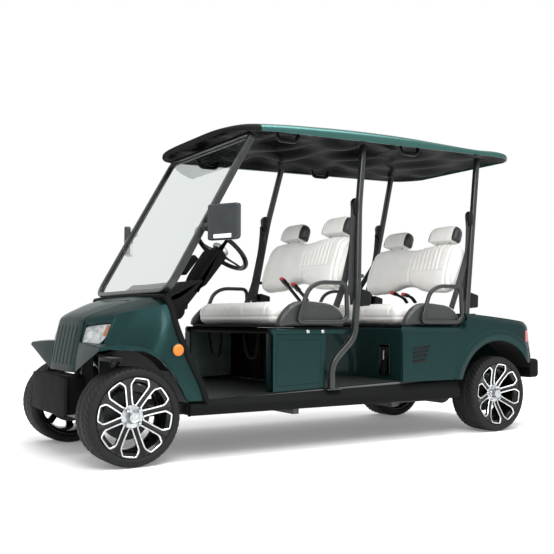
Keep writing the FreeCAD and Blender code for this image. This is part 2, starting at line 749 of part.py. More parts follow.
for y in (-rail_outer, rail_inner):
    parts.append(box("rear_stay", (-half_length + 110 + s.fit_gap, y, s.rear_bumper_base + 2),
                     (frame_rear + 20, y + s.rail_width, kick_top)))
whole_frame = fuse("frame_ladder", parts)
holes = []
for dy in (-1, 1):
    for dz in (-1, 1):
        holes.append(rod("tow_hole", (frame_rear - 5, dy * s.tow_spacing_wide / 2,
                                      plate_low + s.tow_spacing_tall / 2 + 12 + dz * s.tow_spacing_tall / 2),
                         s.tow_hole, s.tow_plate_thick + 10, "x"))
node(cut("frame", whole_frame, fuse("tow_holes", holes)), "frame")

# Floor: a sloping panel with a toe board in front of the front wheels' sweep
floor_nose = front_axle - 358
toe_front, toe_height = front_axle - 195, s.fender_height - 10
node(side_pad("floor_panel", [
    (body_front - 12, s.floor_rear), (floor_nose, s.floor_front), (toe_front, toe_height),
    (toe_front + 8, toe_height - 12), (floor_nose + 8, s.floor_front - s.floor_thick),
    (body_front - 12, s.floor_rear - s.floor_thick)], -s.floor_half, s.floor_half), "floor")


def floor_at(x):
    """Height of the floor's top at a station, with the fitting gap."""
    run = floor_nose - (body_front - 12)
    return s.floor_front + (s.floor_rear - s.floor_front) * (floor_nose - x) / run + s.fit_gap


def rocker_at(x):
    """Height of the rocker panel's top at a station, with the fitting gap."""
    share = (rocker_front - x) / (rocker_front - rocker_rear)
    return s.floor_front + (s.floor_rear - s.floor_front) * share + s.fit_gap


# Rocker panels
pair("rockers", side_pad("rocker_left", [
    (rocker_rear, s.rocker_base), (rocker_front, s.rocker_base), (rocker_front, s.floor_front),
    (rocker_rear, s.floor_rear)], s.rocker_half - s.rocker_thick, s.rocker_half))


# Front suspension: wishbones from the nose rails to the kingpins
def make_wishbones():
    pieces, bores = [], []
    for side, word in ((LEFT, "left"), (RIGHT, "right")):
        for level, height in (("low", low_eye), ("high", high_eye)):
            base = height + s.fit_gap if level == "high" else height
            y = side * s.kingpin_half
            pieces.append(rod(f"eye_{level}_{word}", (front_axle, y, base), s.eye_radius,
                              s.eye_height - s.fit_gap))
            bores.append(rod(f"eye_bore_{level}_{word}", (front_axle, y, base - 5),
                             s.kingpin_radius + s.running_gap, s.eye_height + 10))
            root = s.nose_rail_half + s.rail_width / 2
            for reach in (-1, 1):
                flat = plan_pad(f"bar_{level}_{word}_{'fore' if reach > 0 else 'aft'}", [
                    (front_axle - 11, side * (s.kingpin_half - 6)),
                    (front_axle + 11, side * (s.kingpin_half - 6)),
                    (front_axle + reach * s.arm_spread + 13, side * root),
                    (front_axle + reach * s.arm_spread - 13, side * root)],
                    base + 2, base + s.eye_height - 4)
                pieces.append(flat)
    return cut("front_suspension", fuse("wishbones", pieces), fuse("eye_bores", bores))


node(make_wishbones(), "front_suspension")

# Track rod behind the front axle, below the rails and the two steering arms
node(rod("track_bar", (front_axle - s.steer_arm, -s.kingpin_half - 4,
                       s.rail_base - s.rod_clearance - s.rod_radius),
         s.rod_radius, (s.kingpin_half + 4) * 2, "y"), "track_rod")

# Rear axle: tube, gear case and drums; the motor stands ahead of the gear case
axle_end = s.rear_track_half - 70
tube = rod("axle_tube", (rear_axle, -axle_end, s.tyre_radius), s.axle_tube_radius, axle_end * 2, "y")
gears = prism("gear_case", (rear_axle, -70, s.tyre_radius), s.gearbox_radius, 140, "y", 24)
pieces = [tube, gears]
stub_tip = s.rear_track_half + hub_face_out - s.cap_wall - 2
pieces.append(rod("axle_shaft", (rear_axle, -stub_tip, s.tyre_radius), s.spindle_radius, stub_tip * 2, "y"))
for side, word in ((LEFT, "left"), (RIGHT, "right")):
    start = axle_end - 20 if side == LEFT else -(axle_end - 20 + s.drum_width)
    pieces.append(prism("rear_drum_" + word, (rear_axle, start, s.tyre_radius), s.drum_radius, s.drum_width,
                        "y", 32))
node(fuse("rear_axle", pieces), "rear_axle")
node(prism("motor", (rear_axle + s.gearbox_radius + s.fit_gap, 0, s.tyre_radius), s.motor_radius,
         s.motor_length, "x", 24), "motor")

# Springs: leaf springs at the rear, shock absorbers at the front
spring_low = s.tyre_radius - s.axle_tube_radius - s.fit_gap
leaf_top = spring_seat - s.fit_gap
pair("leaf_springs", side_pad("leaf_left", [
    (rear_axle - s.spring_half, leaf_top), (rear_axle - s.spring_half, leaf_top - 10),
    (rear_axle, spring_low - 20), (rear_axle + s.spring_half, leaf_top - 10),
    (rear_axle + s.spring_half, leaf_top), (rear_axle, spring_low)],
    spring_out - s.spring_width / 2, spring_out + s.spring_width / 2))
pair("shock_absorbers", prism("shock_left", (front_axle, s.kingpin_half - s.shock_inset, shock_foot),
                              s.shock_radius, s.shock_length, "z", 16))

# Battery block across the rails ahead of the motor
battery_front = body_front - 50
node(box("battery_block", (battery_front - s.battery_length, -s.battery_half, rail_top + s.fit_gap),
         (battery_front, s.battery_half, rail_top + s.battery_height)), "battery")

# Front cowl: a hollow hood that narrows towards the nose, and fenders that stand out over the wheels
scuttle = front_axle - s.scuttle_back
nose_front = half_length - s.nose_setback
nose_head = front_axle + 141
nose_base = s.bumper_top + 16
HOOD_SECTIONS = [
    # station ahead of the axle; half width of foot, shoulder and crest; rise of shoulder and crest
    (141, 214, 208, 196, 96, 131), (85, 345, 330, 236, 116, 176), (-43, 452, 440, 300, 178, 228),
    (-160, 530, 508, 380, 212, 256)]


def hood_block(name, wall, drop, rear):
    """The hood as a loft from the nose back to a station, thinner by a wall, down to a drop below the fenders."""
    sections = []
    for i, (ahead, foot_half, shoulder_half, crest_half, shoulder, crest) in enumerate(HOOD_SECTIONS):
        low = s.fender_height - drop
        shoulder_top, crest_top = s.fender_height + shoulder - wall, s.fender_height + crest - wall
        near = rear if i == len(HOOD_SECTIONS) - 1 else front_axle + ahead - (wall if i == 0 else 0)
        sections.append(station(f"{name}_{i}", "YZ", near, [
            (-foot_half + wall, low), (foot_half - wall, low), (shoulder_half - wall, shoulder_top),
            (crest_half - wall, crest_top), (0, crest_top + 10), (-crest_half + wall, crest_top),
            (-shoulder_half + wall, shoulder_top)]))
    return loft(name, sections)


def leaning_plate(name, setback, thick, near, far):
    """A plate parallel to the nose's face, between two distances from the middle."""
    return side_pad(name, [
        (nose_front - setback, nose_base), (nose_head - setback, s.fender_height + 131),
        (nose_head - setback - thick, s.fender_height + 131), (nose_front - setback - thick, nose_base)],
                    near, far)


def make_cowl():
    window = box("lamp_window_left", (front_axle + 40, s.lamp_inner - s.fit_gap, lamp_base - s.fit_gap),
                 (front_axle + 190, s.lamp_outer + s.fit_gap, lamp_top + s.fit_gap))
    hood = cut("hood_skin", hood_block("hood_outer", 0, 12, scuttle),
               hood_block("hood_inner", s.cowl_wall, 40, scuttle - 1))
    opened = cut("hood_opened", hood, fuse("lamp_windows", [window, mirrored("lamp_window_right", window)]))
    face = leaning_plate("nose_face", as_size(0), 14, -s.nose_half, s.nose_half)
    grooves = []
    for i in range(3):
        middle = s.groove_pitch * (i + 0.5)
        groove = leaning_plate(f"nose_groove_{i}", as_size(-1), s.groove_depth + 1, middle - s.groove_half,
                               middle + s.groove_half)
        grooves += [groove, mirrored(f"nose_groove_{i}_right", groove)]
    band = box("groove_band", (front_axle, -s.nose_half, nose_base + 30),
               (half_length, s.nose_half, s.fender_height + 108))
    nose = cut("nose_grooved", face, common("groove_tools", [fuse("all_grooves", grooves), band]))
    half = s.cowl_half
    cheek = side_pad("nose_cheek", [
        (nose_front, nose_base), (nose_head, s.fender_height + 131), (nose_head - 50, s.fender_height + 131),
        (front_axle + 130, s.fender_height), (front_axle + 150, nose_base)],
        s.nose_half - s.cowl_wall, s.nose_half)
    wing = front_pad("wing_left", [
        (s.nose_half - 2, nose_base), (half, s.fender_height - 13), (half, s.fender_height + 1),
        (s.nose_half - 2, s.fender_height + 20)], nose_front - 16, nose_front - 2)
    shelf = side_pad("fender_top", [
        (nose_front - 2, s.fender_height + 1), (front_axle + 87, s.fender_height + 16),
        (front_axle - 33, s.fender_height + 2), (front_axle - 103, s.fender_height - 27),
        (front_axle - 103, s.fender_height - 49), (front_axle - 49, s.fender_height - 18),
        (front_axle + 37, s.fender_height - 7), (front_axle + 120, s.fender_height - 6),
        (nose_front - 2, s.fender_height - 13)], s.nose_half - 2, half)
    quarter = side_pad("quarter_left", [
        (front_axle - 103, s.fender_height - 49), (front_axle - 146, s.fender_height - 76),
        (front_axle - 228, s.fender_height - 185), (front_axle - 271, rocker_at(front_axle - 271)),
        (front_axle - 363, rocker_at(front_axle - 363)), (front_axle - 335, s.fender_height - 187),
        (front_axle - 291, s.fender_height - 96), (front_axle - 238, s.fender_height - 15),
        (front_axle - 213, s.fender_height + 50), (front_axle - 103, s.fender_height + 50)], half - 26, half)
    bridge = box("quarter_bridge", (scuttle - 30, s.hood_half - 20, s.fender_height + 20),
                 (scuttle + 10, half - 20, s.fender_height + 50))
    pieces = [opened, nose]
    for part in (cheek, wing, shelf, quarter, bridge):
        pieces += [part, mirrored(part.Name + "_right", part)]
    return fuse("front_cowl", pieces)


node(make_cowl(), "front_cowl")

# Lamps and markers
lamp = plan_pad("lamp_left", [
    (front_axle + 142, s.lamp_inner), (front_axle + 84, s.lamp_outer), (front_axle + 56, s.lamp_outer),
    (front_axle + 112, s.lamp_inner)], lamp_base, lamp_top)
pair("headlights", lamp)
pair("side_markers", prism("marker_left",
                           (front_axle - 216, s.cowl_half + s.fit_gap, s.fender_height - s.marker_drop),
                           s.marker_radius, 12, "y", 20))

# Bumpers: bowed blocks of dark plastic
tip_back = half_length - 15
front_bumper = plan_pad("bumper_front_block", [
    (half_length - s.bumper_depth, -205), (tip_back - 44, -215), (tip_back - 4, -s.bumper_half + 30),
    (tip_back, -s.bumper_half), (half_length - 5, -s.bumper_half), (half_length - 2, -s.bumper_half * 0.6),
    (half_length, 0), (half_length - 2, s.bumper_half * 0.6), (half_length - 5, s.bumper_half),
    (tip_back, s.bumper_half), (tip_back - 4, s.bumper_half - 30), (tip_back - 44, 215),
    (half_length - s.bumper_depth, 205)], s.bumper_base, s.bumper_top)
node(front_bumper, "front_bumper")
rear_bumper = plan_pad("rear_bumper_block", [
    (-half_length + 110, -s.rear_bumper_half), (-half_length + 110, s.rear_bumper_half),
    (-half_length + 16, s.rear_bumper_half), (-half_length, s.rear_bumper_half - 60),
    (-half_length, -s.rear_bumper_half + 60), (-half_length + 16, -s.rear_bumper_half)],
    s.rear_bumper_base, s.rear_bumper_top)
node(rear_bumper, "rear_bumper")


def ceiling(x):
    """Height of the roof liner's underside at a station."""
    slope = (s.roof_edge_rear - s.roof_edge_front) / (roof_front - roof_rear)
    return s.roof_edge_front + s.liner_lift + slope * (roof_front - x)


# Windshield: two raked pillars with a foot bar and a head bar round one sheet of glass
foot = (scuttle, hood_rear_height + s.glass_lift)
dash_top = foot[1] - s.strip_height - s.fit_gap
head_back = scuttle - s.glass_rake
head = (head_back, ceiling(head_back) - s.fit_gap)
pillar = side_pad("pillar_left", [
    foot, head, (head[0] - s.pillar_depth, head[1]), (foot[0] - s.pillar_depth, foot[1])],
    s.glass_half - s.pillar_width, s.glass_half)
cross_from = -(s.glass_half - s.pillar_width)
foot_bar = side_pad("foot_bar", [
    foot, (foot[0] - 24, foot[1] + 42), (foot[0] - 24 - s.pillar_depth, foot[1] + 42),
    (foot[0] - s.pillar_depth, foot[1])], cross_from, s.glass_half - s.pillar_width)
head_bar = side_pad("head_bar", [
    (head[0] + 22, head[1] - 38), head, (head[0] - s.pillar_depth, head[1]),
    (head[0] + 22 - s.pillar_depth, head[1] - 38)], cross_from, s.glass_half - s.pillar_width)
strip = box("scuttle_strip", (scuttle - s.pillar_depth, -s.glass_half, foot[1] - s.strip_height),
            (scuttle, s.glass_half, foot[1] + 1))
node(fuse("windshield_bars", [pillar, mirrored("pillar_right", pillar), foot_bar, head_bar, strip]),
     "windshield_frame")
mid = s.pillar_depth / 2
node(side_pad("windshield_glass", [
    (foot[0] - 24 - mid, foot[1] + 42 + s.fit_gap),
    (foot[0] - 24 - mid - s.glass_thick, foot[1] + 42 + s.fit_gap),
    (head[0] + 22 - mid - s.glass_thick, head[1] - 38 - s.fit_gap),
    (head[0] + 22 - mid, head[1] - 38 - s.fit_gap)],
    cross_from + s.fit_gap, s.glass_half - s.pillar_width - s.fit_gap), "windshield_glass")

# Dashboard and scuttle
dash_rear = scuttle - s.dash_depth
dash = side_pad("dash_panel", [
    (scuttle - s.fit_gap, 640), (scuttle - s.fit_gap, dash_top), (scuttle - s.pillar_depth - 40, dash_top),
    (dash_rear + 40, hood_rear_height + 90), (dash_rear, hood_rear_height + 60), (dash_rear + 10, 720),
    (scuttle - 60, 640)], -s.glass_half + s.pillar_width + 20, s.glass_half - s.pillar_width - 20)
pod = side_pad("instrument_pod", [
    (dash_rear + 60, hood_rear_height + 70), (dash_rear + 27, hood_rear_height + 135),
    (dash_rear - 18, hood_rear_height + 205), (dash_rear - 53, hood_rear_height + 262),
    (dash_rear - 88, hood_rear_height + 264), (dash_rear - 131, hood_rear_height + 214),
    (dash_rear - 41, hood_rear_height + 109), (dash_rear + 2, hood_rear_height + 62)],
    s.wheel_offset - s.pod_half, s.wheel_offset + s.pod_half)
node(fuse("dash_and_pod", [dash, pod]), "dashboard")

# Steering: column from the dashboard to the hub, wheel with three spokes
tilt = math.radians(s.wheel_tilt.number)
hub = Vector((front_axle - s.wheel_setback).number, s.wheel_offset.number, s.wheel_hub_height.number)
down = Vector(math.cos(tilt), 0, -math.sin(tilt))
column_top = hub + down * (25 + s.fit_gap.number)
node(feature("column", Part.makeCylinder(s.column_radius.number, s.column_length.number, column_top, down)),
     "steering_column")


def flat_ring(radius, grip, centre, axis, around=36, section=8):
    """A ring with flats: a small polygon swept round a larger one."""
    first = axis.cross(Vector(0, 1, 0)).normalize()
    wires = []
    for i in range(around + 1):
        out = Rotation(axis, 360 * i / around).multVec(first)
        spots = [centre + out * (radius + grip * math.cos(2 * math.pi * k / section))
                 + axis * (grip * math.sin(2 * math.pi * k / section)) for k in range(section)]
        wires.append(Part.makePolygon(spots + spots[:1]))
    halves = [Part.makeLoft(wires[:around // 2 + 1], True, True),
              Part.makeLoft(wires[around // 2:], True, True)]
    return halves[0].fuse(halves[1])


def make_steering_wheel():
    solid = flat_ring(s.wheel_radius.number, s.wheel_grip.number, hub, down)
    solid = solid.fuse(Part.makeCylinder(38, 30, hub - down * 5, down))
    across = Vector(0, 1, 0)
    upward = down.cross(across)
    for heading in (across, across * -1, upward * -1):
        width = heading.cross(down).normalize()
        reach = s.wheel_radius.number
        corner = hub - width * 16 + down * 4
        spoke = Part.makePolygon([corner, corner + width * 32, corner + width * 32 + heading * reach,
                                  corner + heading * reach, corner])
        solid = solid.fuse(Part.Face(spoke).extrude(down * 8))
    return solid


node(feature("wheel_shape", make_steering_wheel()), "steering_wheel")


def toe(share, out):
    """A point beside the toe board: a share of the way up it, and so far into the footwell."""
    run, rise = toe_front - floor_nose, toe_height - s.floor_front
    span = Size(math.hypot(run.number, rise.number), f"sqrt({run.formula} ^ 2 + {rise.formula} ^ 2)")
    return (floor_nose + run * share - rise * out / span, s.floor_front + rise * share + run * out / span)


pedals = []
for word, y in (("brake", 190), ("go", 330)):
    pad_outline = [toe(0.30, 0.5), toe(0.38, 0.5), toe(0.38, 42), toe(0.78, 50), toe(0.78, 60), toe(0.30, 52)]
    pedals.append(side_pad(word + "_pedal", pad_outline, y - 45, y + 45))
node(compound("pedal_pair", pedals), "pedals")

# Roof: a crowned skin lofted along the cart, over a dark liner
roof_slope = (s.roof_edge_rear - s.roof_edge_front) / (roof_front - roof_rear)


def roof_edge(x):
    """Height of the roof's lower edge at a station."""
    return s.roof_edge_front + roof_slope * (roof_front - x)


ROOF_SECTIONS = [
    # station, half width short of the full width, rise of the skin as a share of the full rise
    (roof_front, 190, 0.22), (roof_front - 95, 36, 0.48), (roof_front - 440, 0, 0.80),
    (roof_front - 800, 0, 1.0), (roof_front - 1180, 0, 0.97), (roof_rear + 400, 0, 0.60),
    (roof_rear + 235, 0, 0.64), (roof_rear + 70, 24, 0.48), (roof_rear, 120, 0.22)]


def roof_block(name, inset):
    """A block under the roof's crown, inside its outer face by an inset."""
    sections = []
    for i, (x, narrow, share) in enumerate(ROOF_SECTIONS):
        end = inset * (1 if i == 0 else -1 if i == len(ROOF_SECTIONS) - 1 else 0)
        half, rise, low = s.roof_half - narrow - inset, s.roof_rise * share - inset, roof_edge(x)
        sections.append(station(f"{name}_{i}", "YZ", x - end, [
            (-half, low - inset), (half, low - inset), (half - 5, low + rise * 0.45),
            (half * 0.88, low + rise * 0.85),
            (half * 0.5, low + rise), (half * -0.5, low + rise), (half * -0.88, low + rise * 0.85),
            (5 - half, low + rise * 0.45)]))
    return loft(name, sections)


node(cut("roof_shell", roof_block("roof_outer", as_size(0)), roof_block("roof_inner", s.roof_wall)),
     "roof_shell")
liner_front = roof_front + 1
liner_side = side_pad("liner_side", [
    (roof_rear - 1, ceiling(roof_rear - 1) + s.liner_edge), (roof_rear - 1, ceiling(roof_rear - 1)),
    (liner_front, ceiling(liner_front)), (liner_front, ceiling(liner_front) + s.liner_edge)],
    -s.roof_half, s.roof_half)
node(common("liner", [roof_block("liner_room", s.roof_wall + s.fit_gap), liner_side]), "roof_liner")


# Roof struts: bent tubes from the sills and the rear body up to the roof
lean = math.radians(s.back_lean.number)


def back_face(front, height):
    """Station of a backrest's rear face at a height."""
    rise = (height - back_base) * math.tan(lean)
    return (front - s.back_foot - rise).number


def strut_node(label, points, front, height):
    """Two bent struts joined behind the backrest by a bent tube that carries it."""
    points = [tuple(as_size(c).number for c in point) for point in points]
    strut = bent_tube(points, s.strut_radius.number, s.strut_bend.number)
    low, high = [(a, b) for a, b in zip(points, points[1:]) if a[2] <= height.number <= b[2]][0]
    share = (height.number - low[2]) / (high[2] - low[2])
    x, y = (a + (b - a) * share for a, b in zip(low[:2], high[:2]))
    step = s.bracket_step.number
    stand_off = (s.bracket_radius.number + s.fit_gap.number) / math.cos(lean)
    rear = back_face(front, height) - stand_off
    route = [(x, y, height.number), (rear, y - step, height.number), (rear, step - y, height.number),
             (x, -y, height.number)]
    bar = bent_tube(route, s.bracket_radius.number, s.bracket_bend.number)
    other = strut.mirror(Vector(0, 0, 0), Vector(0, 1, 0))
    return node(feature(label + "_shape", strut.fuse([other, bar])), label)


mid_foot = seat_front - 338
mid_top = seat_front - 658
strut_node("mid_struts", [
    (mid_foot, s.base_half + 46, rocker_at(mid_foot - s.strut_radius)),
    (mid_foot, s.base_half + 46, floor_at(mid_foot) + 140),
    (mid_foot - 157, s.base_half + 52, s.base_height - 55),
    (mid_foot - 177, s.base_half + 56, s.base_height + 203),
    (mid_foot - 243, s.glass_half - 12, s.base_height + 713),
    (mid_top, s.roof_half - 107, ceiling(mid_top) - 5)], seat_front, back_base + 80)
rear_top = rear_axle + 17
strut_node("rear_struts", [
    (rear_axle + 209, s.base_half - 8, body_shoulder - 2),
    (rear_axle + 181, s.base_half - 22, body_shoulder + 134),
    (rear_axle + 77, s.glass_half - 62, body_shoulder + 700),
    (rear_top, s.roof_half - 126, ceiling(rear_top) - 5)],
    seat_front - s.seat_pitch, back_base + 80)

# Seat boxes and rear body
seat_rear = seat_front - s.cushion_length
box_back = seat_front - s.base_setback
leg_front = seat_front + s.leg_ahead
leg_half = s.base_half + s.leg_out
leg = side_pad("front_box_left", [
    (leg_front, floor_at(leg_front)), (leg_front, s.base_height - 30), (box_back - 14, s.base_height - 30),
    (box_back, floor_at(box_back))], leg_half - s.panel_thick * 2, leg_half)
front_return = box("front_box_return",
                   (leg_front - s.panel_thick, leg_half - 76, floor_at(leg_front - s.panel_thick)),
                   (leg_front, leg_half, s.base_height - 30))
rail = box("front_box_rail", (seat_rear, s.seat_half, s.base_height - 32),
           (leg_front, leg_half + 4, s.base_height - 9))
ledge = box("front_box_ledge", (seat_rear, s.seat_half - 40, s.base_height - 20),
            (seat_front - 16, leg_half, s.base_height))
back_panel = box("front_box_back", (box_back, -leg_half, floor_at(box_back)),
                 (box_back + s.panel_thick, leg_half, s.base_height))
hoop_x, hoop_top, hoop_low = (size.number for size in (seat_front - 26, s.base_height - 12, s.base_height - 95))
hoop = feature("front_box_hoop", bent_tube([
    (hoop_x, 110, hoop_top), (hoop_x, 110, hoop_low), (hoop_x, 330, hoop_low), (hoop_x, 330, hoop_top)], 7, 30))
cross_rail = box("front_box_cross", (seat_front - 34, -s.seat_half, s.base_height - 16),
                 (seat_front - 18, s.seat_half, s.base_height))
box_side = fuse("front_box_side", [leg, front_return, rail, ledge, hoop])
node(fuse("seat_box_shape", [box_side, mirrored("front_box_other_side", box_side), back_panel, cross_rail]),
     "front_seat_box")

skin_half = s.body_half - s.flare_out
body_side = side_pad("rear_body_block", [
    (body_front, s.body_base), (body_front, s.base_height), (body_front - 495, s.base_height),
    (body_front - 525, body_shoulder - 45), (body_front - 552, body_shoulder), (body_tail, body_tail_height),
    (body_end, s.tail_edge_height), (body_end + 10, s.body_base)], -skin_half, skin_half)
doc.recompute()


def top_side(edge):
    """Picks the long edges where the deck meets the two sides."""
    reach, middle = spread(edge), edge.CenterOfMass
    return reach[0] > 150 and reach[1] < 1 and abs(abs(middle.y) - skin_half.number) < 1 and (
        middle.z > s.base_height.number - 5)


round_off(body_side, s.shoulder_round, top_side)
tail_plan = plan_pad("rear_body_plan", [
    (body_front + 1, -s.body_half), (rear_axle - 300, -s.body_half), (body_end - 1, -s.rear_bumper_half),
    (body_end - 1, s.rear_bumper_half), (rear_axle - 300, s.body_half), (body_front + 1, s.body_half)],
    s.body_base - 5, body_shoulder + 5)
wells = []
flares = []
for side, word in ((LEFT, "left"), (RIGHT, "right")):
    start = s.body_half - s.flare_out - 1 if side == LEFT else -s.body_half
    disc = rod("flare_disc_" + word, (rear_axle, start, s.tyre_radius), s.flare_radius, s.flare_out + 1, "y")
    room = box("flare_room_" + word, (rear_axle - 390, -s.body_half - 1, s.body_base),
               (rear_axle + 500, s.body_half + 1, body_shoulder))
    flares.append(common("flare_" + word, [disc, room]))
    wells.append(rod("rear_well_" + word,
                     (rear_axle, 375 if side == LEFT else -s.body_half - 5, s.tyre_radius),
                     s.rear_arch_radius, s.body_half - 370, "y"))
vent_tops = []
for i in range(3):
    low = s.body_base + 138 + i * 30
    vent_tops.append(side_pad(f"vent_slot_{i}", [
        (body_front - 72, low), (body_front - 66, low + 14), (body_front - 200 - i * 6, low + 22),
        (body_front - 192 - i * 6, low + 8)], skin_half - 8, skin_half + 1))
slots = fuse("vent_slots", vent_tops)
seat_well = box("rear_seat_well", (body_front - 578, -s.base_half - 36, s.base_height),
                (body_front + 5, s.base_half + 36, body_shoulder + 5))
hollow = box("rear_hollow", (body_end + 60, -360, s.body_base - 5),
             (body_front - 40, 360, s.base_height - 20))
hinge_seat = box("hinge_seat", (body_front - 60, -s.hinge_offset - 34, s.base_height - s.hinge_radius - 3),
                 (body_front + 1, s.hinge_offset + 34, s.base_height + 1))
body_mass = fuse("rear_body_mass", [common("rear_body_tapered", [body_side, tail_plan])] + flares)
node(cut("rear_body", body_mass, fuse("rear_hollows", wells + [hollow, seat_well, hinge_seat, slots,
                                                               mirrored("vent_slots_right", slots)])),
     "rear_body")
tail_slope = (s.body_tail_back - s.body_end_back) / (body_tail_height - s.tail_edge_height)


def tail_face(height):
    """Station of the body's sloping rear face at a height."""
    return body_end - tail_slope * (height - s.tail_edge_height)


lamp_low, lamp_high = body_tail_height - 135, body_tail_height - 55
pair("tail_lights", side_pad("tail_left", [
    (tail_face(lamp_low) - s.fit_gap, lamp_low), (tail_face(lamp_high) - s.fit_gap, lamp_high),
    (tail_face(lamp_high) - 14, lamp_high - 4), (tail_face(lamp_low) - 14, lamp_low + 4)],
    s.body_half - 120, s.body_half - 80))

# Seats: cushion on its board, leaning backrest with two headrests


def make_bench(word, front):
    board = box(word + "_board", (front - s.cushion_length, -s.seat_half, cushion_base - s.board_thick),
                (front + 10, s.seat_half, cushion_base - s.fit_gap))
    barrels = []
    for side in (LEFT, RIGHT):
        start = s.hinge_offset - 30 if side == LEFT else -s.hinge_offset - 30
        barrels.append(rod(word + "_hinge_barrel", (front + 10, start, s.base_height + s.fit_gap),
                           s.hinge_radius, 60, "y"))
    node(fuse(word + "_board_and_hinges", [board] + barrels), word + "_seat_board")
    cushion = box(word + "_cushion", (front - s.cushion_length, -s.seat_half, cushion_base),
                  (front, s.seat_half, cushion_base + s.cushion_thick))
    node(cushion, word + "_cushion")
    foot_x = front - s.back_foot
    rise = Vector(-math.sin(lean), 0, math.cos(lean))
    ahead = Vector(math.cos(lean), 0, math.sin(lean))
    start = Vector(foot_x.number, -s.back_half.number, back_base.number)
    half = s.back_half.number

    def slab(low, width, thick, tall):
        """A block standing along the backrest's slope."""
        outline = Part.makePolygon([low, low + ahead * thick, low + ahead * thick + rise * tall,
                                    low + rise * tall, low])
        return Part.Face(outline).extrude(Vector(0, width, 0))

    solids = [slab(start, half * 2, s.back_thick.number, s.back_height.number)]
    for side in (LEFT, RIGHT):
        low = start + Vector(0, half + side * s.headrest_offset.number - s.headrest_width.number / 2, 0)
        low = low + rise * (s.back_height.number + s.fit_gap.number)
        solids.append(slab(low, s.headrest_width.number, s.headrest_thick.number, s.headrest_height.number))
    node(feature(word + "_backrest_shape", Part.makeCompound(solids)), word + "_backrest")
    return board


make_bench("front", seat_front)
make_bench("rear", seat_front - s.seat_pitch)


def arm_loop(front, inset):
    """Outline of an armrest's loop from the side, drawn in by an inset."""
    low, high = s.base_height + 20 + inset, s.base_height + 264 - inset
    return [(front - 116 - inset * 1.3, low), (front - 112 - inset * 1.3, low + 40),
            (front - 176 - inset, high - 42),
            (front - 255 - inset * 0.6, high), (front - 456 + inset, high), (front - 464 + inset, low + 30),
            (front - 420 + inset, low)]


# Side pads and armrests outside both benches
pads, rests = [], []
for word, front in (("front", seat_front), ("rear", seat_front - s.seat_pitch)):
    near = s.seat_half + s.soft_gap
    block = side_pad(word + "_side_pad", [
        (front + 18, s.base_height + s.fit_gap), (front, cushion_base + 70),
        (front - 110, cushion_base + s.pad_height - 6),
        (front - 200, cushion_base + s.pad_height), (front - 400, cushion_base + s.pad_height - 20),
        (front - s.pad_length + 18, cushion_base + 60),
        (front - s.pad_length + 18, s.base_height + s.fit_gap)],
        near, near + s.pad_thick)
    pads += [block, mirrored(word + "_side_pad_right", block)]
    loop = side_pad(word + "_armrest_left", arm_loop(front, 0), near + s.pad_thick + s.fit_gap,
                    near + s.pad_thick + s.armrest_width)
    round_off(loop, s.armrest_width, along("y"))
    window = sketch_on(loop, "XZ_Plane", word + "_armrest_window", -(near + s.pad_thick + s.armrest_width))
    draw_polygon(window, arm_loop(front, s.armrest_width))
    pocket(loop, window, word + "_armrest_opening")
    rests += [loop, mirrored(word + "_armrest_right", loop)]
node(compound("side_pads", pads), "side_pads")
node(compound("armrests", rests), "armrests")


# Mirrors on arms from the windshield pillars
def make_mirror():
    turn = Rotation(Vector(0, 0, 1), s.mirror_turn.number)
    centre = Vector((front_axle - s.mirror_setback).number, s.mirror_out.number, s.mirror_height.number)
    half = Vector(s.mirror_thick.number / 2, s.mirror_width.number / 2, s.mirror_tall.number / 2)
    shell = Part.makeBox(half.x * 2, half.y * 2, half.z * 2, half * -1)
    shell.Placement = Placement(centre, turn)
    height = s.mirror_height.number - 15
    share = (height - foot[1].number) / (head[1] - foot[1]).number
    pillar_x = (foot[0] + (head[0] - foot[0]) * share - s.pillar_depth / 2).number
    root = Vector(pillar_x, (s.glass_half + s.fit_gap).number, height)
    start = root + Vector(0, s.mirror_arm.number, 0)
    reach = centre + Vector(0, -40, -15) - start
    arm = Part.makeCylinder(s.mirror_arm.number, reach.Length, start, reach)
    foot_pad = Part.makeCylinder(s.mirror_arm.number + 6, 12, root, Vector(0, 1, 0))
    return shell.fuse([arm, foot_pad])


pair("mirrors", feature("mirror_left", make_mirror()))

doc.recompute()
broken = [t.Label for t in doc.Objects if "Invalid" in t.State or "Error" in t.State]
broken += [t.Label for t in nodes if t.Shape.isNull() or not t.Shape.isValid()]
if broken:
    raise RuntimeError("not built: " + ", ".join(broken))
os.makedirs("parts", exist_ok=True)
for thing in nodes:
    thing.Shape.exportStep(f"parts/{thing.Label}.step")
    reach = thing.Shape.BoundBox
    print(f"{thing.Label:20} solids {len(thing.Shape.Solids)} litres {thing.Shape.Volume / 1e6:8.3f}"
          f"  x {reach.XMin:.0f} {reach.XMax:.0f} y {reach.YMin:.0f} {reach.YMax:.0f}"
          f" z {reach.ZMin:.0f} {reach.ZMax:.0f}")
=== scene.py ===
"""Looks of the golf cart: body panels, wheels, seats and trim over the constructed frame. Shapes are drawn in
millimetres, and piece() puts them into the scene's metres."""
import bmesh
import bpy
import math
import numpy as np
from mathutils import Matrix, Vector


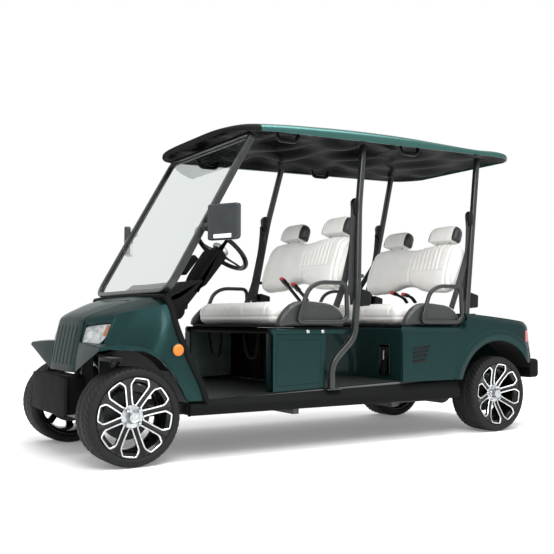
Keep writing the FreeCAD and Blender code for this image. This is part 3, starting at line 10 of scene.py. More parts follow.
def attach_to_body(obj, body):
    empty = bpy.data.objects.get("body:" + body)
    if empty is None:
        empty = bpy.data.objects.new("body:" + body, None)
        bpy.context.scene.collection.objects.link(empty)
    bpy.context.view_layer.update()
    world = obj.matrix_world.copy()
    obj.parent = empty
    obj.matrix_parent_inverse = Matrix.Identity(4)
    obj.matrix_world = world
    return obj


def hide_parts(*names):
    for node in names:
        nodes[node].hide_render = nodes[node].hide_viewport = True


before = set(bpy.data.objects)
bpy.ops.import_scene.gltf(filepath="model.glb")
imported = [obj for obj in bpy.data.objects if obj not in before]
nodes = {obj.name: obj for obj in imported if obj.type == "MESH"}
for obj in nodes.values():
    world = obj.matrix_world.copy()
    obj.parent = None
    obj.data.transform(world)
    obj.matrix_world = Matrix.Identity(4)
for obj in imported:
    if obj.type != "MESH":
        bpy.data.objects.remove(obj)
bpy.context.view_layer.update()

LEFT, RIGHT = 1, -1
AHEAD, ACROSS, UPWARDS = (1, 0, 0), (0, 1, 0), (0, 0, 1)
MIRRORED = np.array([1, -1, 1])
# Stations of the cart in millimetres, as the construction has them
FRONT_AXLE, REAR_AXLE = 1343, -1127
FRONT_TRACK, REAR_TRACK, TYRE_R = 472, 492, 240
FRONT_SEAT, SEAT_PITCH = 523, 900
BENCHES = (("front", FRONT_SEAT), ("rear", FRONT_SEAT - SEAT_PITCH))
ROOF_FRONT, ROOF_REAR = 795, -1395


# Shapes: each is a grid of points or a profile carried along a path, in millimetres
def lattice(p, ring=False, loop=False):
    """Quads over a grid of points. ring joins the last column to the first, loop the last row to
    the first."""
    rows, cols = p.shape[:2]
    i, j = np.meshgrid(np.arange(rows - (not loop)), np.arange(cols - (not ring)), indexing="ij")
    i2, j2 = (i + 1) % rows, (j + 1) % cols
    quads = np.stack([i * cols + j, i2 * cols + j, i2 * cols + j2, i * cols + j2], -1)
    return p.reshape(-1, 3), quads.reshape(-1, 4)


def grid(x, y, z):
    """Points from three arrays, each spread over the rows and columns of the others."""
    return np.stack(np.broadcast_arrays(x, y, z), -1)


def fan(loop_points):
    """One flat face over a closed loop of points."""
    return np.asarray(loop_points), [list(range(len(loop_points)))]


def capped(rows):
    """A tube over rings of points, with a flat face over its first and last ring."""
    return [lattice(rows, ring=True), fan(rows[0]), fan(rows[-1])]


def smooth_line(points, count, closed=False):
    """A cubic through the points: at a share t between two points the line is the Hermite blend of the points
    and of half the chords across them, and the samples are spread evenly by distance."""
    p = np.asarray(points, float)
    if closed:
        around = np.concatenate([p[-1:], p, p[:2]])
    else:
        around = np.concatenate([2 * p[:1] - p[1:2], p, 2 * p[-1:] - p[-2:-1]])
    slope = (around[2:] - around[:-2]) / 2
    a, b = around[1:-2], around[2:-1]
    m0, m1 = slope[:-1], slope[1:]
    t = np.linspace(0, 1, 24, endpoint=False)[:, None, None]
    fine = (2 * t**3 - 3 * t**2 + 1) * a + (t**3 - 2 * t**2 + t) * m0
    fine = fine + (3 * t**2 - 2 * t**3) * b + (t**3 - t**2) * m1
    fine = fine.transpose(1, 0, 2).reshape(-1, p.shape[1])
    fine = np.concatenate([fine, fine[:1] if closed else b[-1:]])
    far = np.concatenate([[0], np.cumsum(np.linalg.norm(np.diff(fine, axis=0), axis=1))])
    at = np.linspace(0, far[-1], count, endpoint=not closed)
    return np.stack([np.interp(at, far, fine[:, k]) for k in range(p.shape[1])], -1)


def rectangle(x0, y0, x1, y1):
    return [(x0, y0), (x1, y0), (x1, y1), (x0, y1)]


def rounded(outline, radius, steps=5):
    """A closed outline with each corner replaced by a parabola that leaves each side at the radius
    from it."""
    p = np.asarray(outline, float)
    r = np.broadcast_to(np.asarray(radius, float), len(p))
    before, after = np.roll(p, 1, 0) - p, np.roll(p, -1, 0) - p
    lb, la = np.linalg.norm(before, axis=1), np.linalg.norm(after, axis=1)
    start = p + before * (np.minimum(r, lb * 0.48) / lb)[:, None]
    end = p + after * (np.minimum(r, la * 0.48) / la)[:, None]
    t = np.linspace(0, 1, steps + 1)[None, :, None]
    arcs = (1 - t)**2 * start[:, None] + 2 * t * (1 - t) * p[:, None] + t**2 * end[:, None]
    return arcs.reshape(-1, p.shape[1])


def bent(points, radius, steps=6):
    """An open line of straight runs with each inner corner replaced by a parabola."""
    p = np.asarray(points, float)
    made = [p[:1]]
    t = np.linspace(0, 1, steps + 1)[:, None]
    for before, here, after in zip(p[:-2], p[1:-1], p[2:]):
        a = here + (before - here) * min(radius / np.linalg.norm(before - here), 0.48)
        b = here + (after - here) * min(radius / np.linalg.norm(after - here), 0.48)
        made.append((1 - t)**2 * a + 2 * t * (1 - t) * here + t**2 * b)
    return np.concatenate(made + [p[-1:]])


def inset(outline, distance):
    """A closed outline moved inwards by a distance along the mitre of its two sides at each point."""
    p = np.asarray(outline, float)
    ahead = np.roll(p, -1, 0) - p
    ahead /= np.maximum(np.linalg.norm(ahead, axis=1), 1e-9)[:, None]
    behind = np.roll(ahead, 1, 0)
    area = np.sum(p[:, 0] * np.roll(p[:, 1], -1) - np.roll(p[:, 0], -1) * p[:, 1])
    turn = np.sign(area)
    n = np.stack([-(ahead + behind)[:, 1], (ahead + behind)[:, 0]], -1) * turn
    n /= np.maximum(np.linalg.norm(n, axis=1), 1e-9)[:, None]
    flat = np.stack([-ahead[:, 1], ahead[:, 0]], -1) * turn
    mitre = np.clip(np.sum(n * flat, 1), 0.5, 1)
    return p + n * (distance / mitre)[:, None]


def slab(outline, low, high, bevel=3, axes="xyz", steps=3):
    """A plate: the outline at each level between low and high, drawn in by a quarter circle at both faces,
    with a narrow flat ring inside each face so that it shades flat."""
    turn = np.linspace(0, math.pi / 2, steps + 1)
    drawn = bevel * (1 - np.sin(turn))
    rise = bevel * (1 - np.cos(turn))
    levels = np.concatenate([[low], low + rise, (high - rise)[::-1], [high]])
    insets = np.concatenate([[bevel + 0.7], drawn, drawn[::-1], [bevel + 0.7]])
    rows = np.stack([np.insert(inset(outline, d), 2, z, axis=1) for d, z in zip(insets, levels)])
    out = np.empty_like(rows)
    out[..., ["xyz".index(a) for a in axes]] = rows
    return capped(out)


def plate(outline, radius, low, high, bevel=3, axes="xyz", arc=5, steps=3):
    """A slab over an outline with rounded corners."""
    return slab(rounded(outline, radius, arc), low, high, bevel, axes, steps)


def shell(p, thick):
    """A sheet with a wall: the grid, the same grid moved by the thickness against its normals, and the edges
    joined."""
    n = np.cross(np.gradient(p, axis=0), np.gradient(p, axis=1))
    n /= np.maximum(np.linalg.norm(n, axis=-1, keepdims=True), 1e-9)
    q = p - n * thick
    both = np.concatenate([p, q[:, ::-1]], axis=1)
    return [lattice(both, ring=True)] + [lattice(np.stack([p[k], q[k]])) for k in (0, -1)]


def turned(profile, centre, count=64, closed=False):
    """A profile of (along, radius) pairs carried round an axis that runs along Y through the centre."""
    a = np.linspace(0, 2 * math.pi, count, endpoint=False)
    prof = np.asarray(profile, float)
    p = grid(prof[:, 1:] * np.cos(a), prof[:, :1], prof[:, 1:] * np.sin(a)) + np.asarray(centre, float)
    made = [lattice(p, ring=True, loop=closed)]
    if not closed:
        made += [fan(p[k]) for k in (0, -1) if prof[k, 1] > 1e-6]
    return made


def carried(path, section, closed=False, up=UPWARDS, taper=None):
    """A closed section of (side, rise) pairs carried along a path: side is across the path and level with the
    plane of up."""
    path = np.asarray(path, float)
    ahead = np.roll(path, -1, 0) - np.roll(path, 1, 0)
    if not closed:
        ahead[0], ahead[-1] = path[1] - path[0], path[-1] - path[-2]
    ahead /= np.linalg.norm(ahead, axis=1, keepdims=True)
    side = np.cross(ahead, np.broadcast_to(np.asarray(up, float), path.shape))
    side /= np.maximum(np.linalg.norm(side, axis=1, keepdims=True), 1e-9)
    rise = np.cross(side, ahead)
    size = np.ones(len(path)) if taper is None else np.asarray(taper, float)
    s = np.asarray(section, float)
    spread = s[None, :, :1] * side[:, None] + s[None, :, 1:] * rise[:, None]
    p = path[:, None] + size[:, None, None] * spread
    return [lattice(p, ring=True, loop=True)] if closed else capped(p)


def circle(radius, count=16):
    a = np.linspace(0, 2 * math.pi, count, endpoint=False)
    return np.stack([radius * np.cos(a), radius * np.sin(a)], -1)


def box_section(wide, tall, radius=4, steps=3):
    """A rectangle about the origin with rounded corners."""
    return rounded(rectangle(-wide / 2, -tall / 2, wide / 2, tall / 2), radius, steps)


def flip(parts):
    """The same shapes on the cart's other side."""
    return [(np.asarray(v) * MIRRORED, f) for v, f in parts]


def both_sides(parts):
    return parts + flip(parts)


def placed(parts, place):
    """Shapes with each point taken through a function into the cart's frame."""
    return [(place(v), f) for v, f in parts]


def framed(origin, *axes):
    """The way into the cart's frame of points given along three axes from an origin."""
    return lambda p: np.asarray(origin) + np.asarray(p, float) @ np.array(axes, float)


def step_up(value, low, high):
    """0 below low, 1 above high and a smooth S between them."""
    t = np.clip((np.asarray(value, float) - low) / (high - low), 0, 1)
    return t * t * (3 - 2 * t)


def attach(obj, body, stands_for):
    """Puts an object in the scene, on its body, in place of the nodes that it stands for."""
    bpy.context.scene.collection.objects.link(obj)
    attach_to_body(obj, body)
    if stands_for:
        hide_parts(*stands_for)


def piece(name, parts, material, body="chassis", stands_for=(), slot=None, sharp=32):
    """Joins shapes into one mesh on a body, with seams merged and faces turned outwards. The slot argument is
    not used."""
    verts, faces, start = [], [], 0
    for v, f in parts:
        verts.append(np.asarray(v, float))
        faces += [[int(i) + start for i in face] for face in f]
        start += len(v)
    mesh = bpy.data.meshes.new(name)
    mesh.from_pydata((np.concatenate(verts) / 1000).tolist(), [], faces)
    work = bmesh.new()
    work.from_mesh(mesh)
    bmesh.ops.remove_doubles(work, verts=work.verts, dist=0.02 / 1000)
    bmesh.ops.dissolve_degenerate(work, edges=work.edges, dist=1e-6)
    bmesh.ops.recalc_face_normals(work, faces=work.faces)
    work.to_mesh(mesh)
    work.free()
    mesh.shade_smooth()
    mesh.set_sharp_from_angle(angle=math.radians(sharp))
    mesh.materials.append(material)
    obj = bpy.data.objects.new(name, mesh)
    attach(obj, body, stands_for)
    return obj


def pair(name, parts, material, **where):
    """One piece made of shapes and of the same on the cart's other side."""
    return piece(name, both_sides(parts), material, **where)


# Materials
def linear(code):
    """An sRGB hex code as linear red, green, blue and 1."""
    c = np.array([int(code[i:i + 2], 16) / 255 for i in (0, 2, 4)])
    return tuple(np.where(c <= 0.04045, c / 12.92, ((c + 0.055) / 1.055)**2.4)) + (1.0,)


def add(tree, kind, inputs=(), **settings):
    """Adds a node, gives it its settings, and links or sets its inputs."""
    made = tree.nodes.new("ShaderNode" + kind)
    for key, value in settings.items():
        setattr(made, key, value)
    for key, value in dict(inputs).items():
        if isinstance(value, bpy.types.NodeSocket):
            tree.links.new(value, made.inputs[key])
        else:
            made.inputs[key].default_value = value
    return made


def surface(name, slot, colour, roughness, metallic=0.0, **extra):
    """A material with its shader set directly, and the tree and object coordinates for its detail."""
    made = bpy.data.materials.new(name)
    made.use_nodes = True
    tree = made.node_tree
    tree.nodes.clear()
    shader = add(tree, "BsdfPrincipled", {"Base Color": linear(colour), "Roughness": roughness,
                                          "Metallic": metallic, **extra})
    tree.links.new(shader.outputs[0], add(tree, "OutputMaterial").inputs[0])
    place = add(tree, "TexCoord").outputs["Object"]
    return made, tree, shader, place


def vary(tree, shader, place, low, high, per_metre, roughness=None, detail=3.0):
    """Mottles the colour between two hex codes, and the roughness between two values, with one noise."""
    cloud = add(tree, "TexNoise", {"Vector": place, "Scale": per_metre, "Detail": detail}).outputs["Fac"]
    ramp = add(tree, "ValToRGB", {"Fac": cloud})
    for end, position, code in ((0, 0.3, low), (1, 0.7, high)):
        ramp.color_ramp.elements[end].position = position
        ramp.color_ramp.elements[end].color = linear(code)
    tree.links.new(ramp.outputs["Color"], shader.inputs["Base Color"])
    if roughness:
        spread = add(tree, "MapRange", {"Value": cloud, "From Min": 0.3, "From Max": 0.7,
                                        "To Min": roughness[0], "To Max": roughness[1]})
        tree.links.new(spread.outputs["Result"], shader.inputs["Roughness"])


def relief(tree, height, depth_mm, strength, socket):
    """Bumps a normal by a texture's height, so many millimetres deep."""
    bump = add(tree, "Bump", {"Height": height, "Distance": depth_mm / 1000, "Strength": strength})
    tree.links.new(bump.outputs["Normal"], socket)


def grained(tree, shader, place, per_metre, depth_mm, kind="TexNoise", source="Fac", **inputs):
    texture = add(tree, kind, {"Vector": place, "Scale": per_metre, **inputs})
    relief(tree, texture.outputs[source], depth_mm, 1.0, shader.inputs["Normal"])


def finish(name, slot, colour, roughness, tones, spread=None, grain=None, metallic=0.0, **extra):
    """A mottled material: tones are two hex codes and the noise's scale per metre, spread the range of its
    roughness, and grain the scale and depth of its relief."""
    made, tree, shader, place = surface(name, slot, colour, roughness, metallic, **extra)
    vary(tree, shader, place, *tones, spread)
    if grain:
        grained(tree, shader, place, *grain)
    return made


def specular(level):
    return {"Specular IOR Level": level}


def coat(weight, roughness):
    return {"Coat Weight": weight, "Coat Roughness": roughness}


def sheen(weight, roughness):
    return {"Sheen Weight": weight, "Sheen Roughness": roughness}


def two_coat_green(name, low, mid, high):
    """Two-coat metallic green between three hex codes: fine flakes under a faintly wavy clear coat give a
    deep colour with pale, sharp highlights."""
    tints = {"Specular Tint": linear("2b615c"), "Coat IOR": 1.36}
    made, tree, shader, place = surface(name, "green_paint", mid, 0.32, 0.6, **specular(0.2),
                                        **coat(0.22, 0.03), **tints)
    vary(tree, shader, place, low, high, 900.0, detail=2.0)  # flakes of 1 mm, coarser than real ones
    peel = add(tree, "TexNoise", {"Vector": place, "Scale": 90.0, "Detail": 1.0}).outputs["Fac"]
    relief(tree, peel, 0.12, 0.5, shader.inputs["Coat Normal"])
    return made


green_paint = two_coat_green("two_coat_metallic_green", "152828", "1a3131", "223d3d")
# The roof's green is painted paler than the body's: a painted highlight for the light from above
roof_paint_painted_highlight = two_coat_green("two_coat_metallic_green_painted_highlight", "2f4f4c", "365955", "3e6460")

LEATHER = ("TexVoronoi", "Distance")
# Textured polypropylene mouldings: dull black with a fine leather grain that catches a soft grey light
black_moulding = finish("textured_polypropylene", "black_plastic", "0b0c0c", 0.78, ("090a0a", "0f1010", 14.0),
                        (0.72, 0.84), (520.0, 0.25, *LEATHER), **specular(0.12))
# Smooth dark ABS of the steering wheel and belt guides: satin, with a few soft reflections
satin_abs = finish("satin_abs", "black_plastic", "0b0c0d", 0.34, ("090a0b", "0f1011", 9.0), (0.26, 0.36),
                   **specular(0.2))
# Mirror shells: charcoal ABS with a soft sheen, lighter than the steering wheel's
mirror_shell = finish("charcoal_abs", "black_plastic", "2a2f31", 0.3, ("26292b", "303537", 9.0), (0.24, 0.34),
                      **specular(0.4))
# Grey polypropylene linings of the bin under the front bench: a flat pale grey-green, painted light standing
# for the light on the legs' inner faces
grey_moulding_painted_light = finish("grey_polypropylene_painted_light", "black_plastic", "5f6d6b", 0.5, ("56635f", "687674", 11.0),
                       (0.44, 0.58), (520.0, 0.2, *LEATHER))
# Powder-coated steel tube: slightly wavy satin charcoal
powder_steel = finish("powder_coated_steel", "black_steel", "191d1c", 0.36, ("151918", "1e2322", 25.0),
                      (0.3, 0.4), (320.0, 0.08), **coat(0.15, 0.25))
# Wheel enamel: wet-looking black over the casting
wheel_enamel = finish("gloss_black_wheel_enamel", "wheel_alloy", "090a0a", 0.25, ("080909", "0e0f0f", 30.0),
                      (0.18, 0.28), **specular(0.2), **coat(0.3, 0.05))
# Diamond-turned aluminium: bright, with fine cutter lines
cut_aluminium = finish("diamond_turned_aluminium", "wheel_alloy", "e2e4e6", 0.22, ("d6d8da", "f0f2f3", 60.0),
                       (0.16, 0.3), (1400.0, 0.04), metallic=1.0)
# Plated steel: bolts and nuts, a bright grey
plated_steel = finish("zinc_plated_steel", "black_steel", "b9bdbf", 0.32, ("a3a7aa", "c9ccce", 70.0),
                      (0.26, 0.42), metallic=1.0)
# Cast and forged steel of the running gear: dull dark grey, a little oily and dusty
cast_steel = finish("forged_steel_with_dust", None, "3c3e40", 0.55, ("2d2f31", "4c4e50", 18.0), (0.45, 0.7),
                    (260.0, 0.3), metallic=0.75)
# Tyre rubber: charcoal, dry on the tread and a little shinier on the side
tyre_rubber = finish("tyre_rubber", "tyre", "151616", 0.7, ("111212", "1a1b1b", 22.0), (0.6, 0.78),
                     (700.0, 0.2), **specular(0.25))
# Vinyl seat covers: off-white, soft sheen, fine pebble grain 2 mm across, faintly greyer in the folds
cream_vinyl = finish("embossed_cream_vinyl", "cream_vinyl", "e3e2de", 0.46, ("dcdbd7", "e8e7e4", 6.0),
                     (0.42, 0.52), (480.0, 0.22, *LEATHER), **sheen(0.15, 0.5))
# The same cover in charcoal on the side pads and the headrests' ends: a soft grey bloom where light grazes it
charcoal_vinyl = finish("embossed_charcoal_vinyl", "charcoal_vinyl", "1f2121", 0.5, ("1b1d1d", "232626", 7.0),
                        (0.42, 0.54), (420.0, 0.3, *LEATHER), **sheen(0.2, 0.45))
# Nylon belt webbing: black, ribbed every 4 mm
webbing = finish("nylon_belt_webbing", "black_plastic", "1c1d1e", 0.7, ("171819", "242526", 50.0), None,
                 (500.0, 0.5), **sheen(0.3, 0.4))
# Moulded rubber mat and pedal pads: matt charcoal with a coarse grain
mat_rubber = finish("moulded_rubber_mat", "black_plastic", "141616", 0.62, ("101212", "1a1c1c", 12.0),
                    (0.5, 0.7), (380.0, 0.4), **specular(0.25))
# Silvered mirror glass: a clean reflection of the room
mirror_glass = finish("silvered_mirror", "black_plastic", "dfe3e6", 0.03, ("dde1e4", "e6e9eb", 8.0),
                      metallic=1.0)
# Die-cast aluminium of the motor: pale grey, dull and sandy
motor_casting = finish("die_cast_aluminium", None, "7d8184", 0.5, ("66696c", "8f9396", 30.0), (0.42, 0.6),
                       (300.0, 0.2), metallic=0.9)
# Metallised lamp bowls: soft bright silver
bright_bowl = finish("metallised_reflector", "lamp_lens", "f3f4f5", 0.3, ("e9ebec", "fafbfb", 40.0),
                     (0.24, 0.38), metallic=0.9)
# Red release buttons of the belt buckles: a small clear accent
red_button = finish("red_buckle_button", "red_lens", "b01f1f", 0.4, ("a01b1b", "bd2626", 60.0), (0.35, 0.5))

# Vacuum-formed gloss ABS of the headliner: black, mirror-like, gently wavy
gloss_liner, tree, shader, place = surface("vacuum_formed_gloss_abs", "liner_plastic", "060707", 0.42,
                                           **specular(0.008), **coat(0.03, 0.03))
vary(tree, shader, place, "050606", "0b0c0c", 5.0, (0.34, 0.5))
grained(tree, shader, place, 22.0, 1.2, Detail=1.0)

# Laminated windshield: clear, faintly hazy
clear_glass, tree, shader, place = surface("laminated_glass", "clear_glass", "dde3e2", 0.02,
                                           **{"Transmission Weight": 1.0, "IOR": 1.5})
haze = add(tree, "TexNoise", {"Vector": place, "Scale": 3.0}).outputs["Fac"]
tree.links.new(add(tree, "MapRange", {"Value": haze, "To Min": 0.0, "To Max": 0.012}).outputs["Result"],
               shader.inputs["Roughness"])


def lens(name, slot, colour, roughness, weight):
    """Lamp plastic with fine flutes that break up what shines through it."""
    made, tree, shader, place = surface(name, slot, colour, roughness, **{"Transmission Weight": weight,
                                                                          "IOR": 1.49})
    flutes = add(tree, "TexWave", {"Vector": place, "Scale": 110.0}, bands_direction="Z").outputs["Fac"]
    relief(tree, flutes, 0.8, 0.6, shader.inputs["Normal"])
    return made


# Clear over the bright bowls, opal white on the mirrors, and deep amber and red on the lamps and markers
clear_lens = lens("clear_polycarbonate_lens", "lamp_lens", "f4f6f7", 0.03, 1.0)
white_lens = lens("opal_acrylic_lens", "lamp_lens", "eceeed", 0.2, 0.1)
amber_lens = lens("amber_acrylic_lens", "amber_lens", "f08a1c", 0.12, 0.35)
red_lens = lens("red_acrylic_lens", "red_lens", "b5141c", 0.1, 0.3)


def dress(material, *names):
    """Gives constructed parts a finish without touching their shape."""
    for name in names:
        nodes[name].data.materials.clear()
        nodes[name].data.materials.append(material)


dress(powder_steel, "frame", "leaf_springs", "battery")
dress(cast_steel, "knuckle_left", "knuckle_right", "front_suspension", "track_rod", "rear_axle")
dress(motor_casting, "motor")
dress(mat_rubber, "pedals")


# Wheels
def tyre(centre_x, centre_y):
    """Radius as a function of the place across and round: a flat crown falling in a quarter circle to the
    sidewalls, less the depth of two ring grooves and of slanted grooves that repeat 48 times round."""
    around, blocks = 384, 48
    turn = np.linspace(0, 2 * math.pi, around, endpoint=False)
    pitch = turn[None] / (2 * math.pi) * blocks
    half = smooth_line([(0, 240), (40, 239.8), (76, 238.5), (90, 234), (98, 225), (101, 214), (99, 203),
                        (91, 195.5), (86, 193.4)], 34)
    line = np.concatenate([[(-84, 181)], half[::-1] * [-1, 1], half[1:], [(84, 181)]])
    y, r = line[:, :1], line[:, 1:]
    off = np.abs(y)
    rings = 5.5 * (1 - step_up(np.minimum(np.abs(y + 30), np.abs(y - 30)), 2.5, 5.5))
    slant = (pitch + off * 0.021 + 0.5 * (y > 0)) % 1.0
    cuts = (1 - step_up(np.abs(slant - 0.5), 0.08, 0.17)) * step_up(off, 33, 38) * (1 - step_up(off, 93, 98))
    sipe = (pitch - y * 0.02) % 1.0
    sipes = (1 - step_up(np.abs(sipe - 0.5), 0.05, 0.12)) * (1 - step_up(off, 16, 24))
    depth = np.maximum(np.maximum(rings, 4.2 * cuts), 3 * sipes)
    ribs = 0.7 * np.sin(turn[None] * 96)**8 * (step_up(off, 97, 100) * step_up(r, 208, 214))
    r = r - depth * step_up(r, 222, 232)
    across = y + np.sign(y) * ribs
    p = grid(r * np.cos(turn), across, r * np.sin(turn)) + [centre_x, centre_y, TYRE_R]
    return [lattice(p, ring=True, loop=True)]


FACE_PLANE = 89.5  # of the wheel face, out from the middle of the wheel


def petal_outline(count):
    """A window's closed outline in the plane of the wheel face, evenly sampled, starting at its root."""
    corners = [(-5, 60), (5, 60), (27, 112), (43, 154), (31, 183), (-31, 183), (-43, 154), (-27, 112)]
    line = rounded(corners, [3, 3, 16, 10, 6, 6, 10, 16], 6)
    return smooth_line(line, count, closed=True)


def spoke_reach(inner, out):
    """How far each point of a window can go along its own normal, up to the lines midway to the neighbouring
    windows, the hub at 56 mm and the rim at 191 mm."""
    reach = np.full(len(inner), 400.0)
    half = math.pi / 8
    for sign in (1, -1):
        normal = np.array([math.cos(half) * sign, -math.sin(half)])
        speed, gap = out @ normal, inner @ normal
        with np.errstate(divide="ignore", invalid="ignore"):
            t = np.where(speed > 1e-6, -gap / speed, 400)
        reach = np.minimum(reach, t)
    b = np.sum(inner * out, 1)
    for radius, outward in ((56.0, False), (191.0, True)):
        disc = b**2 - (np.sum(inner**2, 1) - radius**2)
        root = np.sqrt(np.maximum(disc, 0))
        t = -b + root if outward else -b - root
        reach = np.minimum(reach, np.where((disc > 0) & (t > 0), t, 400))
    return reach


def cone(q):
    """How far the wheel face stands out of its plane at a place in it: -38 mm at the hub, rising in a smooth
    S to 5 mm at the rim."""
    return -38 + 38 * step_up(np.linalg.norm(q, axis=-1), 40, 205) * 1.12


def wheel_face():
    """The bright borders, the window walls and the spokes between: rows run from a window's back edge, up its
    wall, over its raised border and out along its own normals to the middle of the spokes, eight times
    round."""
    inner = petal_outline(96)
    ahead = np.roll(inner, -1, 0) - np.roll(inner, 1, 0)
    out = np.stack([ahead[:, 1], -ahead[:, 0]], -1)
    out /= np.linalg.norm(out, axis=1, keepdims=True)
    reach = spoke_reach(inner, out)
    steps = [(reach, -15), (0 * reach, -15)]
    for away, lift in ((0, 1.6), (1.0, 3.0), (7.4, 3.0), (8.4, 2.0), (10.5, 0.0)):
        steps.append((np.minimum(away, reach * 0.92), lift))
    steps.append((reach, -1.5))
    rows = []
    for away, lift in steps:
        q = inner + out * away[:, None]
        rows.append(np.column_stack([q, cone(q) + lift]))
    rows = np.stack(rows)
    made = []
    for chosen in (rows[2:5], rows[:3], rows[4:]):
        petals = []
        for k in range(8):
            a = math.radians(45 * k + 9)
            c, s = math.cos(a), math.sin(a)
            x = chosen[..., 0] * c - chosen[..., 1] * s
            z = chosen[..., 0] * s + chosen[..., 1] * c
            petals.append(lattice(grid(x, FACE_PLANE + chosen[..., 2], z), ring=True))
        made.append(petals)
    return made


face_bright, face_walls, face_field = wheel_face()
barrel = turned([(-89.5, 186), (-89.5, 193), (-82, 193), (-80, 179), (-40, 166), (60, 166), (76, 178),
                 (81.5, 193), (88, 194), (89.6, 192.5), (89.6, 191), (86, 186), (78, 171), (60, 161),
                 (-40, 161), (-78, 172)], (0, 0, 0), 96, closed=True)
hub_body = turned([(12, 0), (12, 54), (48, 57), (50, 55), (50, 0)], (0, 0, 0))
cap = turned([(49, 0), (49, 55), (52, 56.5), (54, 54), (55, 34), (60, 30), (84, 28), (88, 26), (89.4, 21),
              (87, 18), (87, 0)], (0, 0, 0), 48)
LUG_CIRCLE = 44
lugs = []
for k in range(4):
    a = math.radians(45 + 90 * k)
    spot = np.array([LUG_CIRCLE * math.cos(a), 0, LUG_CIRCLE * math.sin(a)])
    lugs += turned([(53, 13), (56, 13), (58, 11), (58, 0)], spot, 24)
    lugs += turned([(57, 10), (72, 10), (76, 7.5), (77, 0)], spot, 6)
for end, axle, track in (("front", FRONT_AXLE, FRONT_TRACK), ("rear", REAR_AXLE, REAR_TRACK)):
    for side, word in ((LEFT, "left"), (RIGHT, "right")):
        def at_hub(v):
            """Points drawn for a wheel whose outer side faces +Y, at one of the four hubs."""
            return np.asarray(v, float) * [1, side, 1] + [axle, side * track, TYRE_R]
        body = f"wheel_{end}_{word}"
        piece(f"tread_{end}_{word}", tyre(axle, side * track), tyre_rubber, body, (f"tyre_{end}_{word}",),
              sharp=40)
        piece(f"casting_{end}_{word}", placed(face_walls + face_field + barrel + hub_body, at_hub),
              wheel_enamel, body, (f"rim_{end}_{word}",), sharp=30)
        piece(f"petal_edges_{end}_{word}", placed(face_bright, at_hub), cut_aluminium, body, sharp=50)
        piece(f"cap_and_nuts_{end}_{word}", placed(cap + lugs, at_hub), plated_steel, body,
              slot="wheel_alloy")


# Painted body
def through(lines, across, along):
    """A sheet through several lines: each line is sampled evenly, and a cubic joins the samples from line to
    line."""
    rows = np.stack([smooth_line(line, along) for line in lines])
    return np.stack([smooth_line(rows[:, k], across) for k in range(along)], 1)


def ring_skin(centre, angles, inner, outline, depth, count):
    """Rays from an axle: each runs from the wheel opening to where it leaves the panel's outline, and a depth
    function of (station, height, distance from the axle) gives how far out the panel stands."""
    a = np.radians(angles)
    d = np.stack([np.cos(a), np.sin(a)], -1)
    o = np.asarray(outline, float) - centre
    far = np.zeros(len(a))
    for p, q in zip(o, np.roll(o, -1, 0)):
        e = q - p
        det = d[:, 0] * -e[1] + d[:, 1] * e[0]
        with np.errstate(divide="ignore", invalid="ignore"):
            t = (p[0] * -e[1] + p[1] * e[0]) / det
            u = (d[:, 0] * p[1] - d[:, 1] * p[0]) / det
        hit = (np.abs(det) > 1e-9) & (u >= -1e-6) & (u <= 1 + 1e-6) & (t > 0)
        far = np.maximum(far, np.where(hit, t, 0))
    near = np.minimum(inner(a), far)
    share = np.linspace(0, 1, count) ** 1.25
    r = near[:, None] + (far - near)[:, None] * share
    x, z = centre[0] + r * d[:, :1], centre[1] + r * d[:, 1:]
    return grid(x, depth(x, z, r), z)


# Hood: centre line, crest and shoulder from the nose back to the windshield
crest = [(1483, 196, 701), (1474, 203, 718), (1434, 230, 742), (1368, 264, 769), (1297, 304, 796),
         (1186, 384, 824)]
hood_lines = [
    [(1485, 0, 705), (1476, 0, 726), (1440, 0, 752), (1375, 0, 781), (1300, 0, 807), (1186, 0, 837)],
    [(1485, 100, 704), (1476, 103, 725), (1438, 114, 751), (1373, 134, 780), (1299, 156, 806),
     (1186, 196, 835)],
    crest]
shoulder = [(1478, 211, 684), (1466, 250, 692), (1430, 322, 704), (1370, 392, 732), (1297, 444, 757),
            (1150, 521, 782)]
slope_line = [(1481, 204, 694), (1471, 226, 706), (1436, 288, 724), (1372, 344, 748), (1298, 386, 775),
              (1172, 460, 804)]
hood_slope = through([crest, slope_line, shoulder], 12, 44)
hood_half = np.concatenate([through(hood_lines, 18, 44), hood_slope[1:]])
hood = np.concatenate([(hood_half * MIRRORED)[::-1][:-1], hood_half])

# Nose: a grooved panel that leans back, between rounded corners
NOSE_HALF = 206
lean_line = smooth_line([(1532, 441), (1526, 500), (1514, 570), (1501, 640), (1486, 704)], 48)
y = np.linspace(-NOSE_HALF, NOSE_HALF, 207)
groove = np.zeros_like(y)
for middle in range(-150, 151, 60):
    groove = np.maximum(groove, 1 - step_up(np.abs(y - middle), 3, 9))
rise = step_up(lean_line[:, 1], 474, 490) * (1 - step_up(lean_line[:, 1], 664, 680))
back = groove[None] * rise[:, None] * 16 + 9 * (np.abs(y) / NOSE_HALF)[None] ** 6
nose = grid(lean_line[:, :1] - back, y, lean_line[:, 1:])

